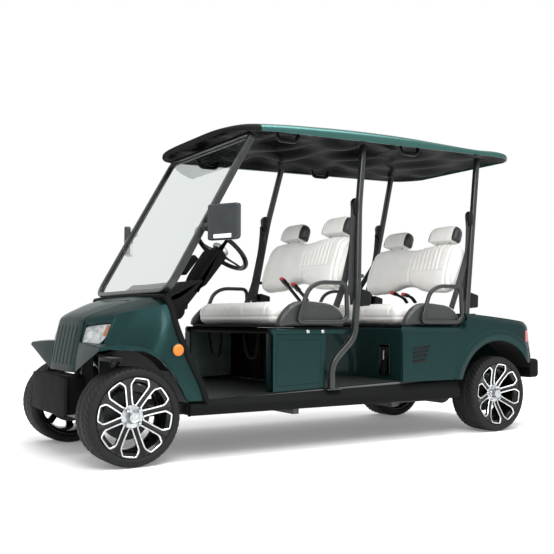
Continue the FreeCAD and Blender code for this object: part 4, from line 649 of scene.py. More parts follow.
# Wing beside the nose, the ledge behind its lip, and the strips that join nose, hood and lamp
wing = through([
    [(1523, 206, 441), (1527, 330, 482), (1529, 450, 522), (1530, 574, 561)],
    [(1515, 207, 520), (1524, 330, 536), (1528, 450, 553), (1530, 575, 568)],
    [(1501, 207, 592), (1512, 330, 588), (1520, 450, 582), (1526, 572, 575)]], 8, 40)
tip = [(1526, 570, 576), (1480, 569, 583), (1426, 568, 587), (1360, 567, 581), (1307, 567, 571),
       (1256, 567, 550)]
foot = [(1501, 207, 592), (1475, 300, 589), (1446, 392, 585), (1400, 428, 581), (1350, 456, 577),
        (1300, 484, 571), (1254, 540, 554)]
ledge = through([tip, foot], 6, 44)
cheek = through([
    [(1505, 206, 570), (1494, 206, 620), (1483, 206, 668), (1477, 207, 701)],
    [(1500, 216, 584), (1488, 217, 622), (1476, 217, 662), (1473, 224, 690)]], 4, 24)
brow_foot = [(1469, 216, 676), (1458, 262, 680), (1432, 322, 688), (1400, 388, 692)]
brow = through([shoulder[:4], brow_foot], 4, 24)

# Side panel from the lamp to the windshield's foot and down behind the wheel, with a band at the opening
low_edge = foot[2:] + [(1226, 562, 536), (1210, 568, 520), (1170, 571, 476), (1138, 573, 432),
                       (1090, 576, 345), (1062, 578, 304)]
high_edge = [(1400, 388, 700), (1370, 393, 731), (1297, 444, 756), (1222, 484, 770), (1152, 521, 780),
             (1138, 546, 690), (1112, 560, 600), (1052, 572, 476), (1010, 578, 385), (985, 581, 304)]
swell = 4 * np.sin(np.linspace(0, math.pi, 60))[:, None] * [0.3, 1, 0]
runs = zip(smooth_line(low_edge, 60), smooth_line(high_edge, 60), swell)
side_panel = np.stack([smooth_line([p, (p + q) / 2 + out, q], 14) for p, q, out in runs], 1)
opening = [(1529, 574, 562), (1496, 575, 567), (1463, 575, 569), (1380, 575, 566), (1294, 575, 554),
           (1240, 576, 528), (1197, 577, 496), (1155, 578, 444), (1115, 579, 387), (1078, 580, 318),
           (1071, 580, 304)]
edge_line = [(1526, 571, 577), (1480, 570, 584), (1426, 569, 588), (1360, 568, 582), (1307, 568, 572),
             (1256, 569, 551), (1210, 570, 521), (1170, 572, 477), (1138, 574, 433), (1090, 577, 345),
             (1062, 579, 304)]
turned_in = [(x, 548, z + 4) for x, y, z in opening]
band = through([turned_in, [(x, y - 5, z) for x, y, z in opening], opening, edge_line], 12, 60)

fender = shell(wing, 4) + shell(ledge, 3) + shell(cheek, 3) + shell(brow, 3) + shell(side_panel, 4)
piece("hood_and_fenders", shell(hood, 4) + shell(nose, 4) + both_sides(fender + shell(band, 3)), green_paint,
      stands_for=("front_cowl",), sharp=30)


def wheel_well(name, x, radius, low, high, count, depths):
    """A thin arch about an axle that closes the space over a wheel."""
    a = np.radians(np.linspace(low, high, count))
    arch = grid(x + radius * np.cos(a), np.array(depths, float)[:, None], TYRE_R + radius * np.sin(a))
    pair(name, shell(arch, 3), black_moulding)


wheel_well("front_wheel_wells", 1370, 328, 66, 141, 44, (564, 540, 450, 330))

# Black strip down the rear edge of each fender, from the windshield's foot to the rocker
strip_line = smooth_line([(1168, 512, 826), (1146, 525, 772), (1130, 545, 690), (1102, 560, 604),
                          (1046, 572, 476), (1002, 578, 385), (977, 581, 306)], 40)
pair("fender_strips", carried(strip_line, box_section(30, 34, 8), up=ACROSS), black_moulding)

# Lamps: a clear lens bulging over a metallised bowl with two reflectors, and an amber corner
lamp_outline = rounded([(0.02, 0.03), (0.84, 0.0), (0.99, 0.25), (1.0, 0.97), (0.5, 0.99), (0.0, 0.97)],
                       [0.05, 0.2, 0.2, 0.06, 0.2, 0.05], 6)


def lamp_point(u, v, out=0.0):
    """A point of the lamp's face: u runs outwards from the nose and v up, straight between four corners, with
    a bulge that is greatest midway."""
    u, v = np.asarray(u, float), np.asarray(v, float)
    lift = out + 44 * u * (1 - u)
    x = 1495 - 24 * v - 48 * u - 20 * u * v
    return grid(x + lift * 0.83, 216 + 172 * u + lift * 0.5, 588 + 84 * v - 2 * u + 20 * u * v)


def lamp_sheet(edge, centre, shrink=1.0):
    """Rings of the lamp's outline drawn to its middle, pushed out as a dome from its edge to its centre."""
    middle = lamp_outline.mean(0)
    rows = []
    for k in np.linspace(1, 0.02, 14):
        q = middle + (lamp_outline - middle) * k * shrink
        rows.append(lamp_point(q[:, 0], q[:, 1], edge + (centre - edge) * (1 - k**3)))
    return np.stack(rows)


def dome(rows):
    """Rings closed by a face over the last one."""
    return [lattice(rows, ring=True), fan(rows[-1])]


lens_outer, lens_inner = lamp_sheet(1, 7), lamp_sheet(-1, 4, 0.995)
lens_edge = lattice(np.stack([lens_outer[0], lens_inner[0]]), ring=True)
pair("lamp_lenses", dome(lens_outer) + dome(lens_inner) + [lens_edge], clear_lens,
     stands_for=("headlights",))
bowl_parts = dome(lamp_sheet(-2, -22))
for u, v, big in ((0.27, 0.47, 34), (0.66, 0.46, 30)):
    rim = np.insert(circle(big, 40), 0, 0, axis=1)
    cup_rings = ((1.0, 6), (0.96, 7), (0.9, 2), (0.6, -8), (0.3, -12), (0.02, -13))
    bowl_parts += dome(np.stack([lamp_point(u, v, -14) + [deep * 0.9, 0, 0] + rim * k
                                 for k, deep in cup_rings]))
pair("lamp_bowls", bowl_parts, bright_bowl)
corner = lamp_point(np.linspace(0.84, 0.97, 10), np.linspace(0.4, 0.9, 10)[:, None], -6)
pair("lamp_turn_signals", shell(corner, -2), amber_lens)

# Amber side markers in a green bezel
MARKER = (1128, 0, 559)
marker = turned([(571, 33), (577, 33), (579, 30.5), (579, 29)], MARKER, 40)
pair("marker_bezels", marker, green_paint)
marker = turned([(574, 29), (582, 29), (585, 26), (587.2, 18), (588, 8), (588.2, 0)], MARKER, 40)
pair("marker_lenses", marker, amber_lens, stands_for=("side_markers",))

# Bumpers: bowed mouldings with a rolled top edge and a rounded lower edge
half_plan = [(1468, 206), (1560, 212), (1591, 296), (1603, 282), (1611, 200), (1615, 90)]
half_radii = [6, 14, 6, 14, 30, 40]
front_plan = [(x, -y) for x, y in half_plan] + half_plan[::-1]
piece("bumper_front", plate(front_plan, half_radii + half_radii[::-1], 228, 425, 14, steps=5), black_moulding,
      stands_for=("front_bumper",))
rear_plan = [(-1506, -520), (-1506, 520), (-1598, 520), (-1615, 462), (-1615, -462), (-1598, -520)]
piece("bumper_rear", plate(rear_plan, [4, 6, 30, 60, 60, 30], 325, 450, 24, arc=6, steps=6), black_moulding,
      stands_for=("rear_bumper",))


# Rear body: side skins with a raised band round the wheel opening, deck and tail
def rear_opening(a):
    """The opening's radius, or the body's lower edge where that is farther from the axle."""
    low = np.where(np.cos(a) > 0, 105, 190) / np.maximum(np.sin(a), 0.02)
    below = (np.cos(a) > 0) | (np.cos(a) < -0.5)
    return np.maximum(340.0, np.where(below, low, 0))


def tail_tuck(x):
    """How far the sides draw in towards the tail."""
    return 60 * step_up(-x, 1330, 1500) ** 1.6


def rear_out(x, z, r):
    """A flat side at 583 that rolls in 26 mm at its top edge, stands out 13 mm as a band round the wheel that
    starts 2 mm out at the opening, and tucks in at the tail."""
    top = np.where(x > -846, 667, 750 - (np.clip(-852 - x, 0, 600)) * 0.098)
    roll = 26 * np.clip(1 - (top - z) / 40, 0, 1) ** 2
    flare = 13 * (1 - step_up(r, 394, 414)) - 11 * (1 - step_up(r, 338, 384))
    return 583 - roll + flare - tail_tuck(x)


rear_outline = [(-320, 345), (-320, 662), (-326, 667), (-815, 667), (-845, 700), (-868, 744), (-884, 750),
                (-1200, 722), (-1420, 695), (-1440, 690), (-1500, 475), (-1500, 430)]
rays = np.concatenate([np.linspace(7.45, 20, 26), np.linspace(20.6, 152.8, 120)])
rear_skin = ring_skin((REAR_AXLE, TYRE_R), rays, rear_opening, rear_outline, rear_out, 40)
rear_parts = both_sides(shell(rear_skin[:, ::-1], 5))
deck_line = smooth_line([(-820, 667), (-846, 702), (-868, 742), (-886, 751), (-1200, 724), (-1420, 697),
                         (-1446, 684), (-1478, 580), (-1502, 470), (-1500, 425)], 90)
t = np.linspace(-1, 1, 81)
crown = 6 * (1 - t[None] ** 2) * step_up(-deck_line[:, :1], 850, 950)
deck_half = 562 - tail_tuck(deck_line[:, :1])
rear_parts += shell(grid(deck_line[:, :1], deck_half * t[None], deck_line[:, 1:] + crown), -5)
rear_parts += plate(rectangle(-578, 346, 578, 662), 8, -332, -320, axes="yzx")
rear_parts += plate(rectangle(-822, -560, -322, 560), 8, 648, 659, 2)
piece("rear_body_panels", rear_parts, green_paint, stands_for=("rear_body",), sharp=30)
wheel_well("rear_wheel_wells", REAR_AXLE, 338, 18.5, 152, 60, (584, 560, 480, 378))

# Air vent with four slats on each flank, shorter towards the lower rear corner
parts = plate([(-386, 566), (-560, 574), (-508, 462), (-392, 434)], 12, 580, 586.5, 2.5, axes="xzy", arc=4)
for low in (462, 488, 514, 540):
    high = low + 18 - 2 * (low == 540)
    left_low, left_high = (-508 - 52 * (z - 462) / 112 for z in (low, high))
    blade = [(left_low + 16, low), (-402, low - 10), (-400, high - 10), (left_high + 14, high)]
    parts += plate(blade, 5, 585, 592, 2.5, axes="xzy", arc=3)
pair("flank_vents", parts, satin_abs)

# Charging port on the front wall of the rear body: a raised frame round a hinged flap with a plated catch
port = rounded(rectangle(378, 378, 474, 566), 10, 4)
flap = slab(inset(port, 14), -314, -307, 3, "yzx")
piece("charging_port", slab(port, -322, -312, 4, "yzx") + flap, satin_abs)
piece("charging_port_catch", plate([(420, 470), (430, 470), (434, 528), (424, 528)], 3, -309, -303, 2, "yzx"),
      plated_steel)

# Tail lamps: each row runs along the flank and round the rear corner
bend = np.linspace(0.15, math.pi / 2, 16)
side_x = np.linspace(-1386, -1432, 8)
tail = []
for z in np.linspace(568, 644, 8):
    flank = grid(side_x, rear_out(side_x, 600, 420) + 9, z)
    reach = 30 + (640 - z) * 0.26
    corner = grid(-1436 - reach * np.sin(bend), 482 + 74 * np.cos(bend) ** 0.8, z)
    tail.append(np.concatenate([flank, corner]))
pair("tail_lamp_lenses", shell(np.stack(tail), -8), red_lens, stands_for=("tail_lights",))

# Windshield: a bent tube frame round one sheet of laminated glass, in a plane that leans back
GLASS_FOOT, GLASS_HEAD = np.array([1163.0, 0, 838]), np.array([653.0, 0, 1728])
GLASS_RUN = float(np.linalg.norm(GLASS_HEAD - GLASS_FOOT))
UP_GLASS = (GLASS_HEAD - GLASS_FOOT) / GLASS_RUN
OUT_GLASS = np.array([UP_GLASS[2], 0, -UP_GLASS[0]])
on_glass = framed(GLASS_FOOT, ACROSS, UP_GLASS, OUT_GLASS)


def round_the_pane(line, section):
    """A section carried round a closed line in the pane's plane."""
    return carried(on_glass(np.insert(line, 2, 0, axis=1)), section, closed=True, up=OUT_GLASS)


rim_line = rounded(rectangle(-506, 16, 506, GLASS_RUN - 15), [90, 90, 46, 46], 8)
piece("windshield_surround", round_the_pane(rim_line, box_section(27, 38, 7)), powder_steel,
      stands_for=("windshield_frame",), slot="black_plastic")
piece("windshield_pane", placed(slab(inset(rim_line, 9), -2.5, 2.5, 1), on_glass), clear_glass,
      stands_for=("windshield_glass",))
piece("windshield_seal", round_the_pane(inset(rim_line, 15), box_section(7, 12, 3)), mat_rubber)
scuttle_line = smooth_line([(1158, -516, 826), (1174, -300, 832), (1180, 0, 835), (1174, 300, 832),
                            (1158, 516, 826)], 40)
piece("scuttle_strip", carried(scuttle_line, box_section(42, 22, 9)), black_moulding)

# Dashboard: a rolled panel whose rear face runs forward by 632 mm a metre towards its ends, with the
# instrument pod that rises to the wheel, a switch box beside it and two cup rings
dash_side = rounded([(1176, 645), (1178, 815), (1095, 826), (935, 922), (866, 916), (853, 880), (866, 722),
                     (1120, 645)], [10, 12, 40, 30, 22, 22, 22, 20], 6)
quarter = np.linspace(0, math.pi / 2, 6)
ends, spread = 16 * (1 - np.sin(quarter)), 16 * (1 - np.cos(quarter))
dash_y = np.concatenate([spread - 470, np.linspace(-450, 450, 61), (470 - spread)[::-1]])
rows = np.stack([inset(dash_side, d) for d in np.concatenate([ends, np.zeros(61), ends[::-1]])])
swept = 951 + 0.632 * (np.abs(dash_y)[:, None] - 330) + 0.84 * (814 - rows[..., 1])
dash_x = np.maximum(rows[..., 0], np.minimum(swept, 1150))
dash = capped(grid(dash_x, dash_y[:, None], rows[..., 1]))
dash += plate([(998, 975), (914, 1062), (886, 1040), (962, 945)], 10, 262, 318, 6, axes="xzy")
pod_side = [(930, 850), (905, 940), (878, 985), (832, 1052), (800, 1098), (768, 1101), (724, 1052),
            (808, 950), (852, 896)]
dash += plate(pod_side, [10, 20, 20, 26, 18, 18, 20, 30, 10], 187, 353, 22, axes="xzy", arc=6, steps=5)
cup = rounded(rectangle(-58, -40, 58, 40), 16, 4)
for mid in (-105, 45):
    ring = np.insert(cup + [mid, 812], 0, 852, axis=1)
    dash += carried(ring, box_section(9, 9, 4), closed=True, up=AHEAD)
piece("dash_panel", dash, black_moulding, stands_for=("dashboard",))

# Steering column and wheel
TILT = math.radians(50)
HUB = np.array([726.0, 270, 1105])
AXIS = np.array([-math.cos(TILT), 0, math.sin(TILT)])
at_wheel = framed(HUB, ACROSS, (math.sin(TILT), 0, math.cos(TILT)), AXIS)


def spindle(stations):
    """Circles about the steering axis, each so far along it and of its own radius."""
    ring = circle(1, 32) @ np.array([np.cross(AXIS, ACROSS), ACROSS])
    return capped(np.stack([HUB + along * AXIS + radius * ring for along, radius in stations]))


column = spindle([(-402, 24), (-398, 26), (-180, 26), (-176, 34), (-96, 38), (-60, 36), (-46, 30), (-30, 22),
                  (-27, 20)])
piece("column_tube", column, satin_abs, stands_for=("steering_column",))
a = np.linspace(0, 2 * math.pi, 96, endpoint=False)
rim_path = at_wheel(np.insert(circle(164, 96), 2, 0, axis=1))
grip = 13.5 + 1.2 * np.cos(3 * a + math.pi)
wheel_parts = carried(rim_path, circle(1, 18), closed=True, up=AXIS, taper=grip)
run = np.linspace(0, 1, 18)
for turn in (math.radians(20), math.radians(160), math.radians(270)):
    spoke = np.column_stack([(26 + 136 * run) * math.cos(turn), (26 + 136 * run) * math.sin(turn),
                             -20 + 20 * step_up(run, 0.1, 0.95)])
    narrowed = 1 - 0.42 * np.sin(run * 2.2)
    wheel_parts += carried(at_wheel(spoke), box_section(34, 11, 5), up=AXIS, taper=narrowed)
piece("steering_wheel_rim", wheel_parts, satin_abs, "steering_hand_wheel", ("steering_wheel",))
boss = spindle([(-24, 30), (-20, 44), (-6, 50), (2, 47), (8, 36), (10, 6)])
piece("steering_wheel_boss", boss, plated_steel, "steering_hand_wheel", slot="wheel_alloy")

# Floor mat, ribbed lengthwise
MAT_REAR, MAT_FRONT, MAT_HALF = -322, 958, 546
run_x = np.linspace(MAT_REAR, MAT_FRONT, 17)[:, None]
across = np.linspace(-MAT_HALF, MAT_HALF, 121)
floor_z = 303 + 47 * (MAT_FRONT - run_x) / (MAT_FRONT - MAT_REAR)
rib = np.maximum(0, np.sin(across / MAT_HALF * math.pi * 36)) ** 2
top = floor_z + 2.0 + 2.2 * rib
piece("floor_mat", shell(grid(run_x, across, top), 2), mat_rubber)


# Roof: seen across the cart its height is the fourth root of 1 - t^4, flat on top and steep at the sides
def roof_edge(x):
    """The lower edge climbs from 1722 mm at the front to 1790 mm at the rear."""
    return 1722 + 68 * (ROOF_FRONT - x) / (ROOF_FRONT - ROOF_REAR)


WIDEST = 562
roof_stations = smooth_line([(795, 372, 34), (776, 424, 43), (700, 526, 56), (560, 554, 68), (355, 562, 80),
                             (-5, 562, 92), (-385, 562, 89), (-700, 562, 72), (-995, 562, 55),
                             (-1160, 562, 59), (-1260, 548, 54), (-1325, 505, 47), (-1376, 446, 37),
                             (-1395, 404, 30)], 110)
roof_x, roof_w, roof_h = roof_stations[:, 0], np.minimum(roof_stations[:, 1], WIDEST), roof_stations[:, 2]
roof_x = np.concatenate([roof_x[:1], roof_x[:1], roof_x, roof_x[-1:], roof_x[-1:]])
roof_w = np.concatenate([roof_w[:1] - 12, roof_w[:1], roof_w, roof_w[-1:], roof_w[-1:] - 12])
roof_h = np.concatenate([[0, 0], roof_h, [0, 0]])
half_turn = np.linspace(0, math.pi, 73)
across = np.sign(np.cos(half_turn)) * np.sqrt(np.abs(np.cos(half_turn)))
height = np.sqrt(np.abs(np.sin(half_turn)))
skin = grid(roof_x[:, None], roof_w[:, None] * across, roof_edge(roof_x)[:, None] + roof_h[:, None] * height)
hem = grid(roof_x, roof_w - 16, roof_edge(roof_x) + 2)[:, None]
skin = np.concatenate([hem, skin, hem * MIRRORED], 1)
# The roof skin takes the paler green, a painted highlight for the light from above
skin = piece("roof_skin", shell(skin, 3), roof_paint_painted_highlight, stands_for=("roof_shell",), sharp=35)


def second_finish(obj, material, chosen):
    """Gives the faces whose centres are chosen, in millimetres, a second material."""
    mesh = obj.data
    mesh.materials.append(material)
    flat = np.empty(len(mesh.polygons) * 3)
    mesh.polygons.foreach_get("center", flat)
    mesh.polygons.foreach_set("material_index", chosen(flat.reshape(-1, 3) * 1000).astype(np.int32))
    mesh.update()


def visor_faces(c):
    """The front face, and the sides up to the widest station below four fifths of the roof's height."""
    low = c[:, 2] - roof_edge(c[:, 0]) < 0.8 * np.interp(-c[:, 0], -roof_x, roof_h)
    return (c[:, 0] > 791) | ((c[:, 0] > 640) & low)


second_finish(skin, black_moulding, visor_faces)

# Headliner: a gloss sheet with pressed waves that die out at its edge
inside = slice(4, -4)
lx, lw, lh = roof_x[inside] - 6 * np.sign(roof_x[inside]), roof_w[inside] - 9, roof_h[inside] - 9
t = np.linspace(-1, 1, 97)
ridge = step_up(np.abs(t), 0.72, 0.8)[None] * (1 - step_up(np.abs(t), 0.86, 0.93)[None])
wave = 0.42 + 0.2 * np.sin(lx[:, None] / 52 + 1.3 * np.sin(t * 4))
wave = wave + 0.14 * np.cos(t * 9 + lx[:, None] / 120) + 0.1 * ridge
pressed = roof_edge(lx)[:, None] + 5 + lh[:, None] * wave * (1 - np.abs(t[None]) ** 7)
liner = grid(lx[:, None], lw[:, None] * t[None], pressed)
piece("headliner", shell(liner, -2), gloss_liner, stands_for=("roof_liner",), sharp=60)
handles = []
for mid in (420, -480):
    top = float(roof_edge(mid)) + 14
    handle = bent([(mid + 74, 476, top), (mid + 58, 476, top - 40), (mid - 58, 476, top - 38),
                   (mid - 74, 476, top + 4)], 26)
    handles += carried(handle, box_section(22, 13, 5), up=ACROSS)
pair("grab_handles", handles, satin_abs)

# Roof struts: bent tubes with flattened faces, the cross tubes behind the backrests, and the belts on them
BACK_LEAN = math.radians(19)
BACK_FOOT = np.array([FRONT_SEAT - 540.0, 0, 860])
BAR_HEIGHT = 965
strut = box_section(36, 36, 13, 5)
mid_path = bent([(185, 566, 324), (185, 566, 467), (28, 572, 612), (8, 576, 870), (-58, 508, 1380),
                 (-135, 455, 1753)], 62)
rear_path = bent([(-918, 512, 748), (-946, 498, 884), (-1050, 458, 1450), (-1110, 436, 1784)], 62)


def at_height(path, z):
    """The point of a rising line at a height."""
    return np.array([np.interp(z, path[:, 2], path[:, k]) for k in range(3)])


def cross_tube(path, shift):
    """A tube from strut to strut that steps forward to touch the backrest's rear face."""
    x, y, z = at_height(path, BAR_HEIGHT)
    rear = shift + BACK_FOOT[0] - (z - BACK_FOOT[2]) * math.tan(BACK_LEAN) - 12
    route = [(x, y, z), (rear, y - 24, z), (rear, 24 - y, z), (x, -y, z)]
    return carried(bent(route, 22), circle(11, 20))


mid_parts = both_sides(carried(mid_path, strut, up=ACROSS)) + cross_tube(mid_path, 0)
mid_parts += both_sides(plate(rectangle(128, 540, 226, 590), 8, 321, 327, 2))
rear_parts = both_sides(carried(rear_path, strut, up=ACROSS)) + cross_tube(rear_path, -SEAT_PITCH)
rear_parts += both_sides(plate(rectangle(-972, 470, -878, 548), 10, 744, 752, 2))
piece("middle_struts", mid_parts, powder_steel, stands_for=("mid_struts",))
piece("tail_struts", rear_parts, powder_steel, stands_for=("rear_struts",))

belt_parts, guide_parts, buckles, buttons = [], [], [], []
for shift, path, rise in ((0, mid_path, 1.0), (-SEAT_PITCH, rear_path, 0.32)):
    low, high = at_height(path, 840), at_height(path, 1370)
    guide = [(high[0] + 16, 1330), (high[0] + 44, 1318), (high[0] + 50, 1400), (high[0] + 30, 1424),
             (high[0] + 12, 1412)]
    guide_parts += plate(guide, 9, high[1] - 22, high[1] + 20, 6, axes="xzy")
    reel = [(low[0] - 14, 786), (low[0] - 96, 792), (low[0] - 100, 872), (low[0] - 22, 892)]
    guide_parts += plate(reel, 12, low[1] - 54, low[1] + 8, 8, axes="xzy")
    hang = high + [36, 4, -20]
    down_strut = [hang, hang + [14, 2, -160], low + [30, -18, 40], low + [4, -26, -10]]
    to_pad = [hang + [4, -2, 0], hang + [12, -4, -200], (shift + 62, 516, 905), (shift + 118, 519, 785)]
    for route in (down_strut, to_pad):
        belt_parts += carried(bent(route, 60), box_section(2.4, 44, 1), up=AHEAD)
    for y, far in ((-46, 1.0), (40, 0.5)):
        end = np.array([shift + 30 + 58 * far, y, 866 + 70 * far * rise])
        stalk = [(shift - 16, y, 830), (shift + 16, y, 862), end]
        ahead = np.array([0.74, 0, 0.67 * rise])
        buckles += carried(smooth_line(stalk, 12), box_section(14, 26, 4), up=ACROSS)
        head, button = ([end + ahead * near, end + ahead * tip] for near, tip in ((-12, 40), (39, 54)))
        buckles += carried(head, box_section(20, 38, 6), up=ACROSS)
        buttons += carried(button, box_section(17, 33, 5), up=ACROSS)
pair("belt_webbing", belt_parts, webbing)
pair("belt_guides_and_reels", guide_parts, satin_abs)
piece("belt_buckles", buckles, satin_abs)
piece("buckle_buttons", buttons, red_button)

# Rocker panels: an upright face, a bead, and a face above it that leans in to the floor's edge
rocker_x = np.concatenate([[-780, -780, -776], np.linspace(-770, 1048, 60), [1055, 1060, 1060]])
draw = np.concatenate([[1, 0.3, 0.1], np.zeros(60), [0.1, 0.3, 1]])
top = 343 - 41 * (rocker_x + 780) / 1840
profile = [(552, 231), (578, 231), (586, 235), (589, 243), (589, 262), (592, 268), (592, 276), (589, 284),
           (566, top - 9), (560, top - 2), (552, top)]
rows = np.stack([np.stack([rocker_x, y - 6 * draw * (y > 560), z - 4 * draw], -1) for y, z in profile], 1)
pair("rocker_mouldings", capped(rows), black_moulding, stands_for=("rockers",))

# Front seat box: painted side panels and skirt rail, a bin under the bench with pale grey linings of painted
# light, and two hanging hoops
LEG_TOP = 637
leg_parts = plate([(553, 318), (553, LEG_TOP), (199, LEG_TOP), (213, 331)], [6, 12, 12, 6], 518, 543, 5,
                  axes="xzy", arc=4)
leg_parts += plate([(532, 352), (530, 600), (236, 600), (248, 362)], 14, 541, 545.5, axes="xzy", arc=4)
leg_parts += plate(rectangle(541, 470, 553, 540), 3, 322, LEG_TOP - 4)
skirt = smooth_line([(556, 500, 647), (545, 538, 647), (470, 546, 646), (250, 547, 645), (33, 546, 645)], 40)
leg_parts += carried(skirt, box_section(9, 26, 4))
pair("front_seat_box_panels", leg_parts, green_paint, stands_for=("front_seat_box",))
bin_parts = plate(rectangle(-518, 334, 518, 655), 10, 213, 222, axes="yzx")
bin_parts += plate(rectangle(32, -500, 538, 500), 20, 644, 658)
bin_parts += plate(rectangle(508, -516, 538, 516), 12, 632, 658)
bin_parts += both_sides(plate(rectangle(33, 486, 546, 545), 8, 652, 667.3))
for y in (-470, -300, -120, 120, 300, 470):
    bin_parts += plate(rectangle(y - 6, 340, y + 6, 640), 4, 220, 232, axes="yzx")
for y in (-220, 220):
    hoop = bent([(505, y - 92, 655), (498, y - 60, 520), (494, y - 36, 486), (494, y + 36, 486),
                 (498, y + 60, 520), (505, y + 92, 655)], 44)
    bin_parts += carried(hoop, circle(8, 14), up=AHEAD)
piece("front_seat_bin", bin_parts, black_moulding)
# Linings inside the legs: their pale grey is painted light on the inner faces
lining = plate([(549, 334), (549, 640), (226, 640), (226, 345)], 8, 509, 518.5, axes="xzy")
pair("bin_side_linings", lining, grey_moulding_painted_light)
bolts = []
for x in (FRONT_SEAT - 190, FRONT_SEAT - 290):
    bolts += turned([(0, 11), (3, 11), (6, 8), (7, 0)], (x, 551, 646), 20)
pair("skirt_bolts", bolts, plated_steel)

# Armrests: flattened tube loops outside the side pads
loops = []
for word, front in BENCHES:
    loop = inset([(front - 116, 687), (front - 112, 727), (front - 176, 889), (front - 255, 931),
                  (front - 456, 931), (front - 464, 717), (front - 420, 687)], 11.5)
    line = np.insert(rounded(loop, [24, 20, 40, 46, 42, 22, 22], 6), 1, 563, axis=1)
    loops += carried(line, box_section(24, 22, 9, 4), closed=True, up=ACROSS)
pair("armrest_loops", loops, powder_steel, stands_for=("armrests",), slot="black_plastic")

# Side mirrors: a rounded housing turned outwards on a stub arm, with the glass facing the driver
YAW_OUT = math.radians(28)
on_mirror = framed((908, 640, 1205), (-math.sin(YAW_OUT), math.cos(YAW_OUT), 0), UPWARDS,
                   (math.cos(YAW_OUT), math.sin(YAW_OUT), 0))
housing = rounded(rectangle(-92, -92, 92, 92), [12, 26, 14, 12], 5)
mirror = placed(slab(housing, -20, 20, 10, steps=5), on_mirror)
pillar_x = GLASS_FOOT[0] - 510 * (1190 - 838) / 890
arm = bent([(pillar_x, 516, 1190), (pillar_x - 4, 552, 1194), (912, 572, 1200)], 16)
mirror += carried(arm, circle(12, 16))
mirror += carried([(pillar_x, 512, 1190), (pillar_x, 530, 1190)], circle(20, 20))
pair("mirror_housings", mirror, mirror_shell, stands_for=("mirrors",))
pane = placed(slab(inset(housing, 9), -21.5, -18, 1), on_mirror)
pair("mirror_panes", pane, mirror_glass)
light = placed(plate([(-52, -84), (56, -84), (56, -62), (-52, -64)], 4, 18, 22, 1.5), on_mirror)
pair("mirror_light_strips", light, white_lens)

# Front shock absorbers: a coil over a damper
a = np.linspace(0, 2 * math.pi * 7, 200)
helix = grid(FRONT_AXLE + 22 * np.cos(a), 285 + 22 * np.sin(a), 316 + 165 * a / a[-1])
coil = carried(helix, circle(5, 8))
for low, high, r in ((306, 318, 25), (480, 494, 25), (306, 494, 9)):
    coil += carried([(FRONT_AXLE, 285, low), (FRONT_AXLE, 285, high)], circle(r, 24), up=AHEAD)
pair("coil_shock_absorbers", coil, powder_steel, stands_for=("shock_absorbers",))


# Seats: padded forms filled by a cloth simulation, then their sewn channels
CLOTH = {"quality": 4, "mass": 0.3, "use_pressure": True, "uniform_pressure_force": 4.0,
         "tension_stiffness": 12, "compression_stiffness": 12, "shear_stiffness": 4, "bending_stiffness": 0.4}
CLOTH_FRAMES = 20


def baked(obj):
    """Replaces an object's mesh with what its modifiers make of it."""
    graph = bpy.context.evaluated_depsgraph_get()
    made = bpy.data.meshes.new_from_object(obj.evaluated_get(graph), depsgraph=graph)
    obj.modifiers.clear()
    obj.data = made
    return made


def points_of(mesh):
    flat = np.empty(len(mesh.vertices) * 3)
    mesh.vertices.foreach_get("co", flat)
    return flat.reshape(-1, 3)


def set_points(mesh, p):
    mesh.vertices.foreach_set("co", np.ascontiguousarray(p, float).ravel())
    mesh.update()


def swell(obj, mesh, cap):
    """Runs the cloth under pressure, and keeps each point within the cap of where it started."""
    start = points_of(mesh)
    cloth = obj.modifiers.new("fill", "CLOTH")
    for key, value in CLOTH.items():
        setattr(cloth.settings, key, value)
    cloth.settings.effector_weights.gravity = 0.0
    cloth.point_cache.frame_start, cloth.point_cache.frame_end = 1, CLOTH_FRAMES
    for number in range(1, CLOTH_FRAMES + 1):
        bpy.context.scene.frame_set(number)
    mesh = baked(obj)
    bpy.context.scene.frame_set(1)
    step = points_of(mesh) - start
    far = np.linalg.norm(step, axis=1, keepdims=True)
    set_points(mesh, start + step * np.minimum(1, cap / 1000 / np.maximum(far, 1e-9)))


def stuffed(name, parts, material, fill, limits, channels, cap, cell, **where):
    """Remeshes a form, swells it like filled cloth, subdivides it once, presses its channels in along the
    normals, and keeps it within limits: the ways to its own frame and back, and the low and high corner."""
    obj = piece(name, parts, material, **where)
    to_own, from_own, lowest, highest = limits
    cells = obj.modifiers.new("cells", "REMESH")
    cells.mode, cells.voxel_size = "VOXEL", cell / 1000
    mesh = baked(obj)
    swell(obj, mesh, cap)
    half = obj.modifiers.new("halves", "SUBSURF")
    half.levels = half.render_levels = 1
    mesh = baked(obj)
    mesh.update()
    normals = np.empty(len(mesh.vertices) * 3)
    mesh.vertex_normals.foreach_get("vector", normals)
    p = points_of(mesh) * 1000
    p = p - normals.reshape(-1, 3) * channels(to_own(p))[:, None]
    set_points(mesh, from_own(np.clip(to_own(p), lowest, highest)) / 1000)
    mesh.shade_smooth()
    mesh.materials.clear()
    mesh.materials.append(material)
    return obj


def repeated(obj, name, body, stands_for):
    """The same padded piece at the rear bench."""
    mesh = obj.data.copy()
    set_points(mesh, points_of(mesh) - [SEAT_PITCH / 1000, 0, 0])
    made = bpy.data.objects.new(name, mesh)
    attach(made, body, stands_for)


def line_at(value, places, wide, deep):
    """A rounded groove at each place."""
    total = np.zeros_like(value)
    for place in places:
        total = np.maximum(total, deep * np.exp(-((value - place) / wide) ** 2))
    return total


def same(p):
    return p


# Cushion: crowned, with a soft front roll, lengthwise seams between the seats and a seam round its side
def cushion_channels(p):
    top = step_up(p[:, 2], 735, 765)
    front = step_up(p[:, 0], FRONT_SEAT - 470, FRONT_SEAT - 430)
    return line_at(p[:, 1], (-372, -105, 105, 372), 8, 7) * top * front + line_at(p[:, 2], (728,), 6, 4)


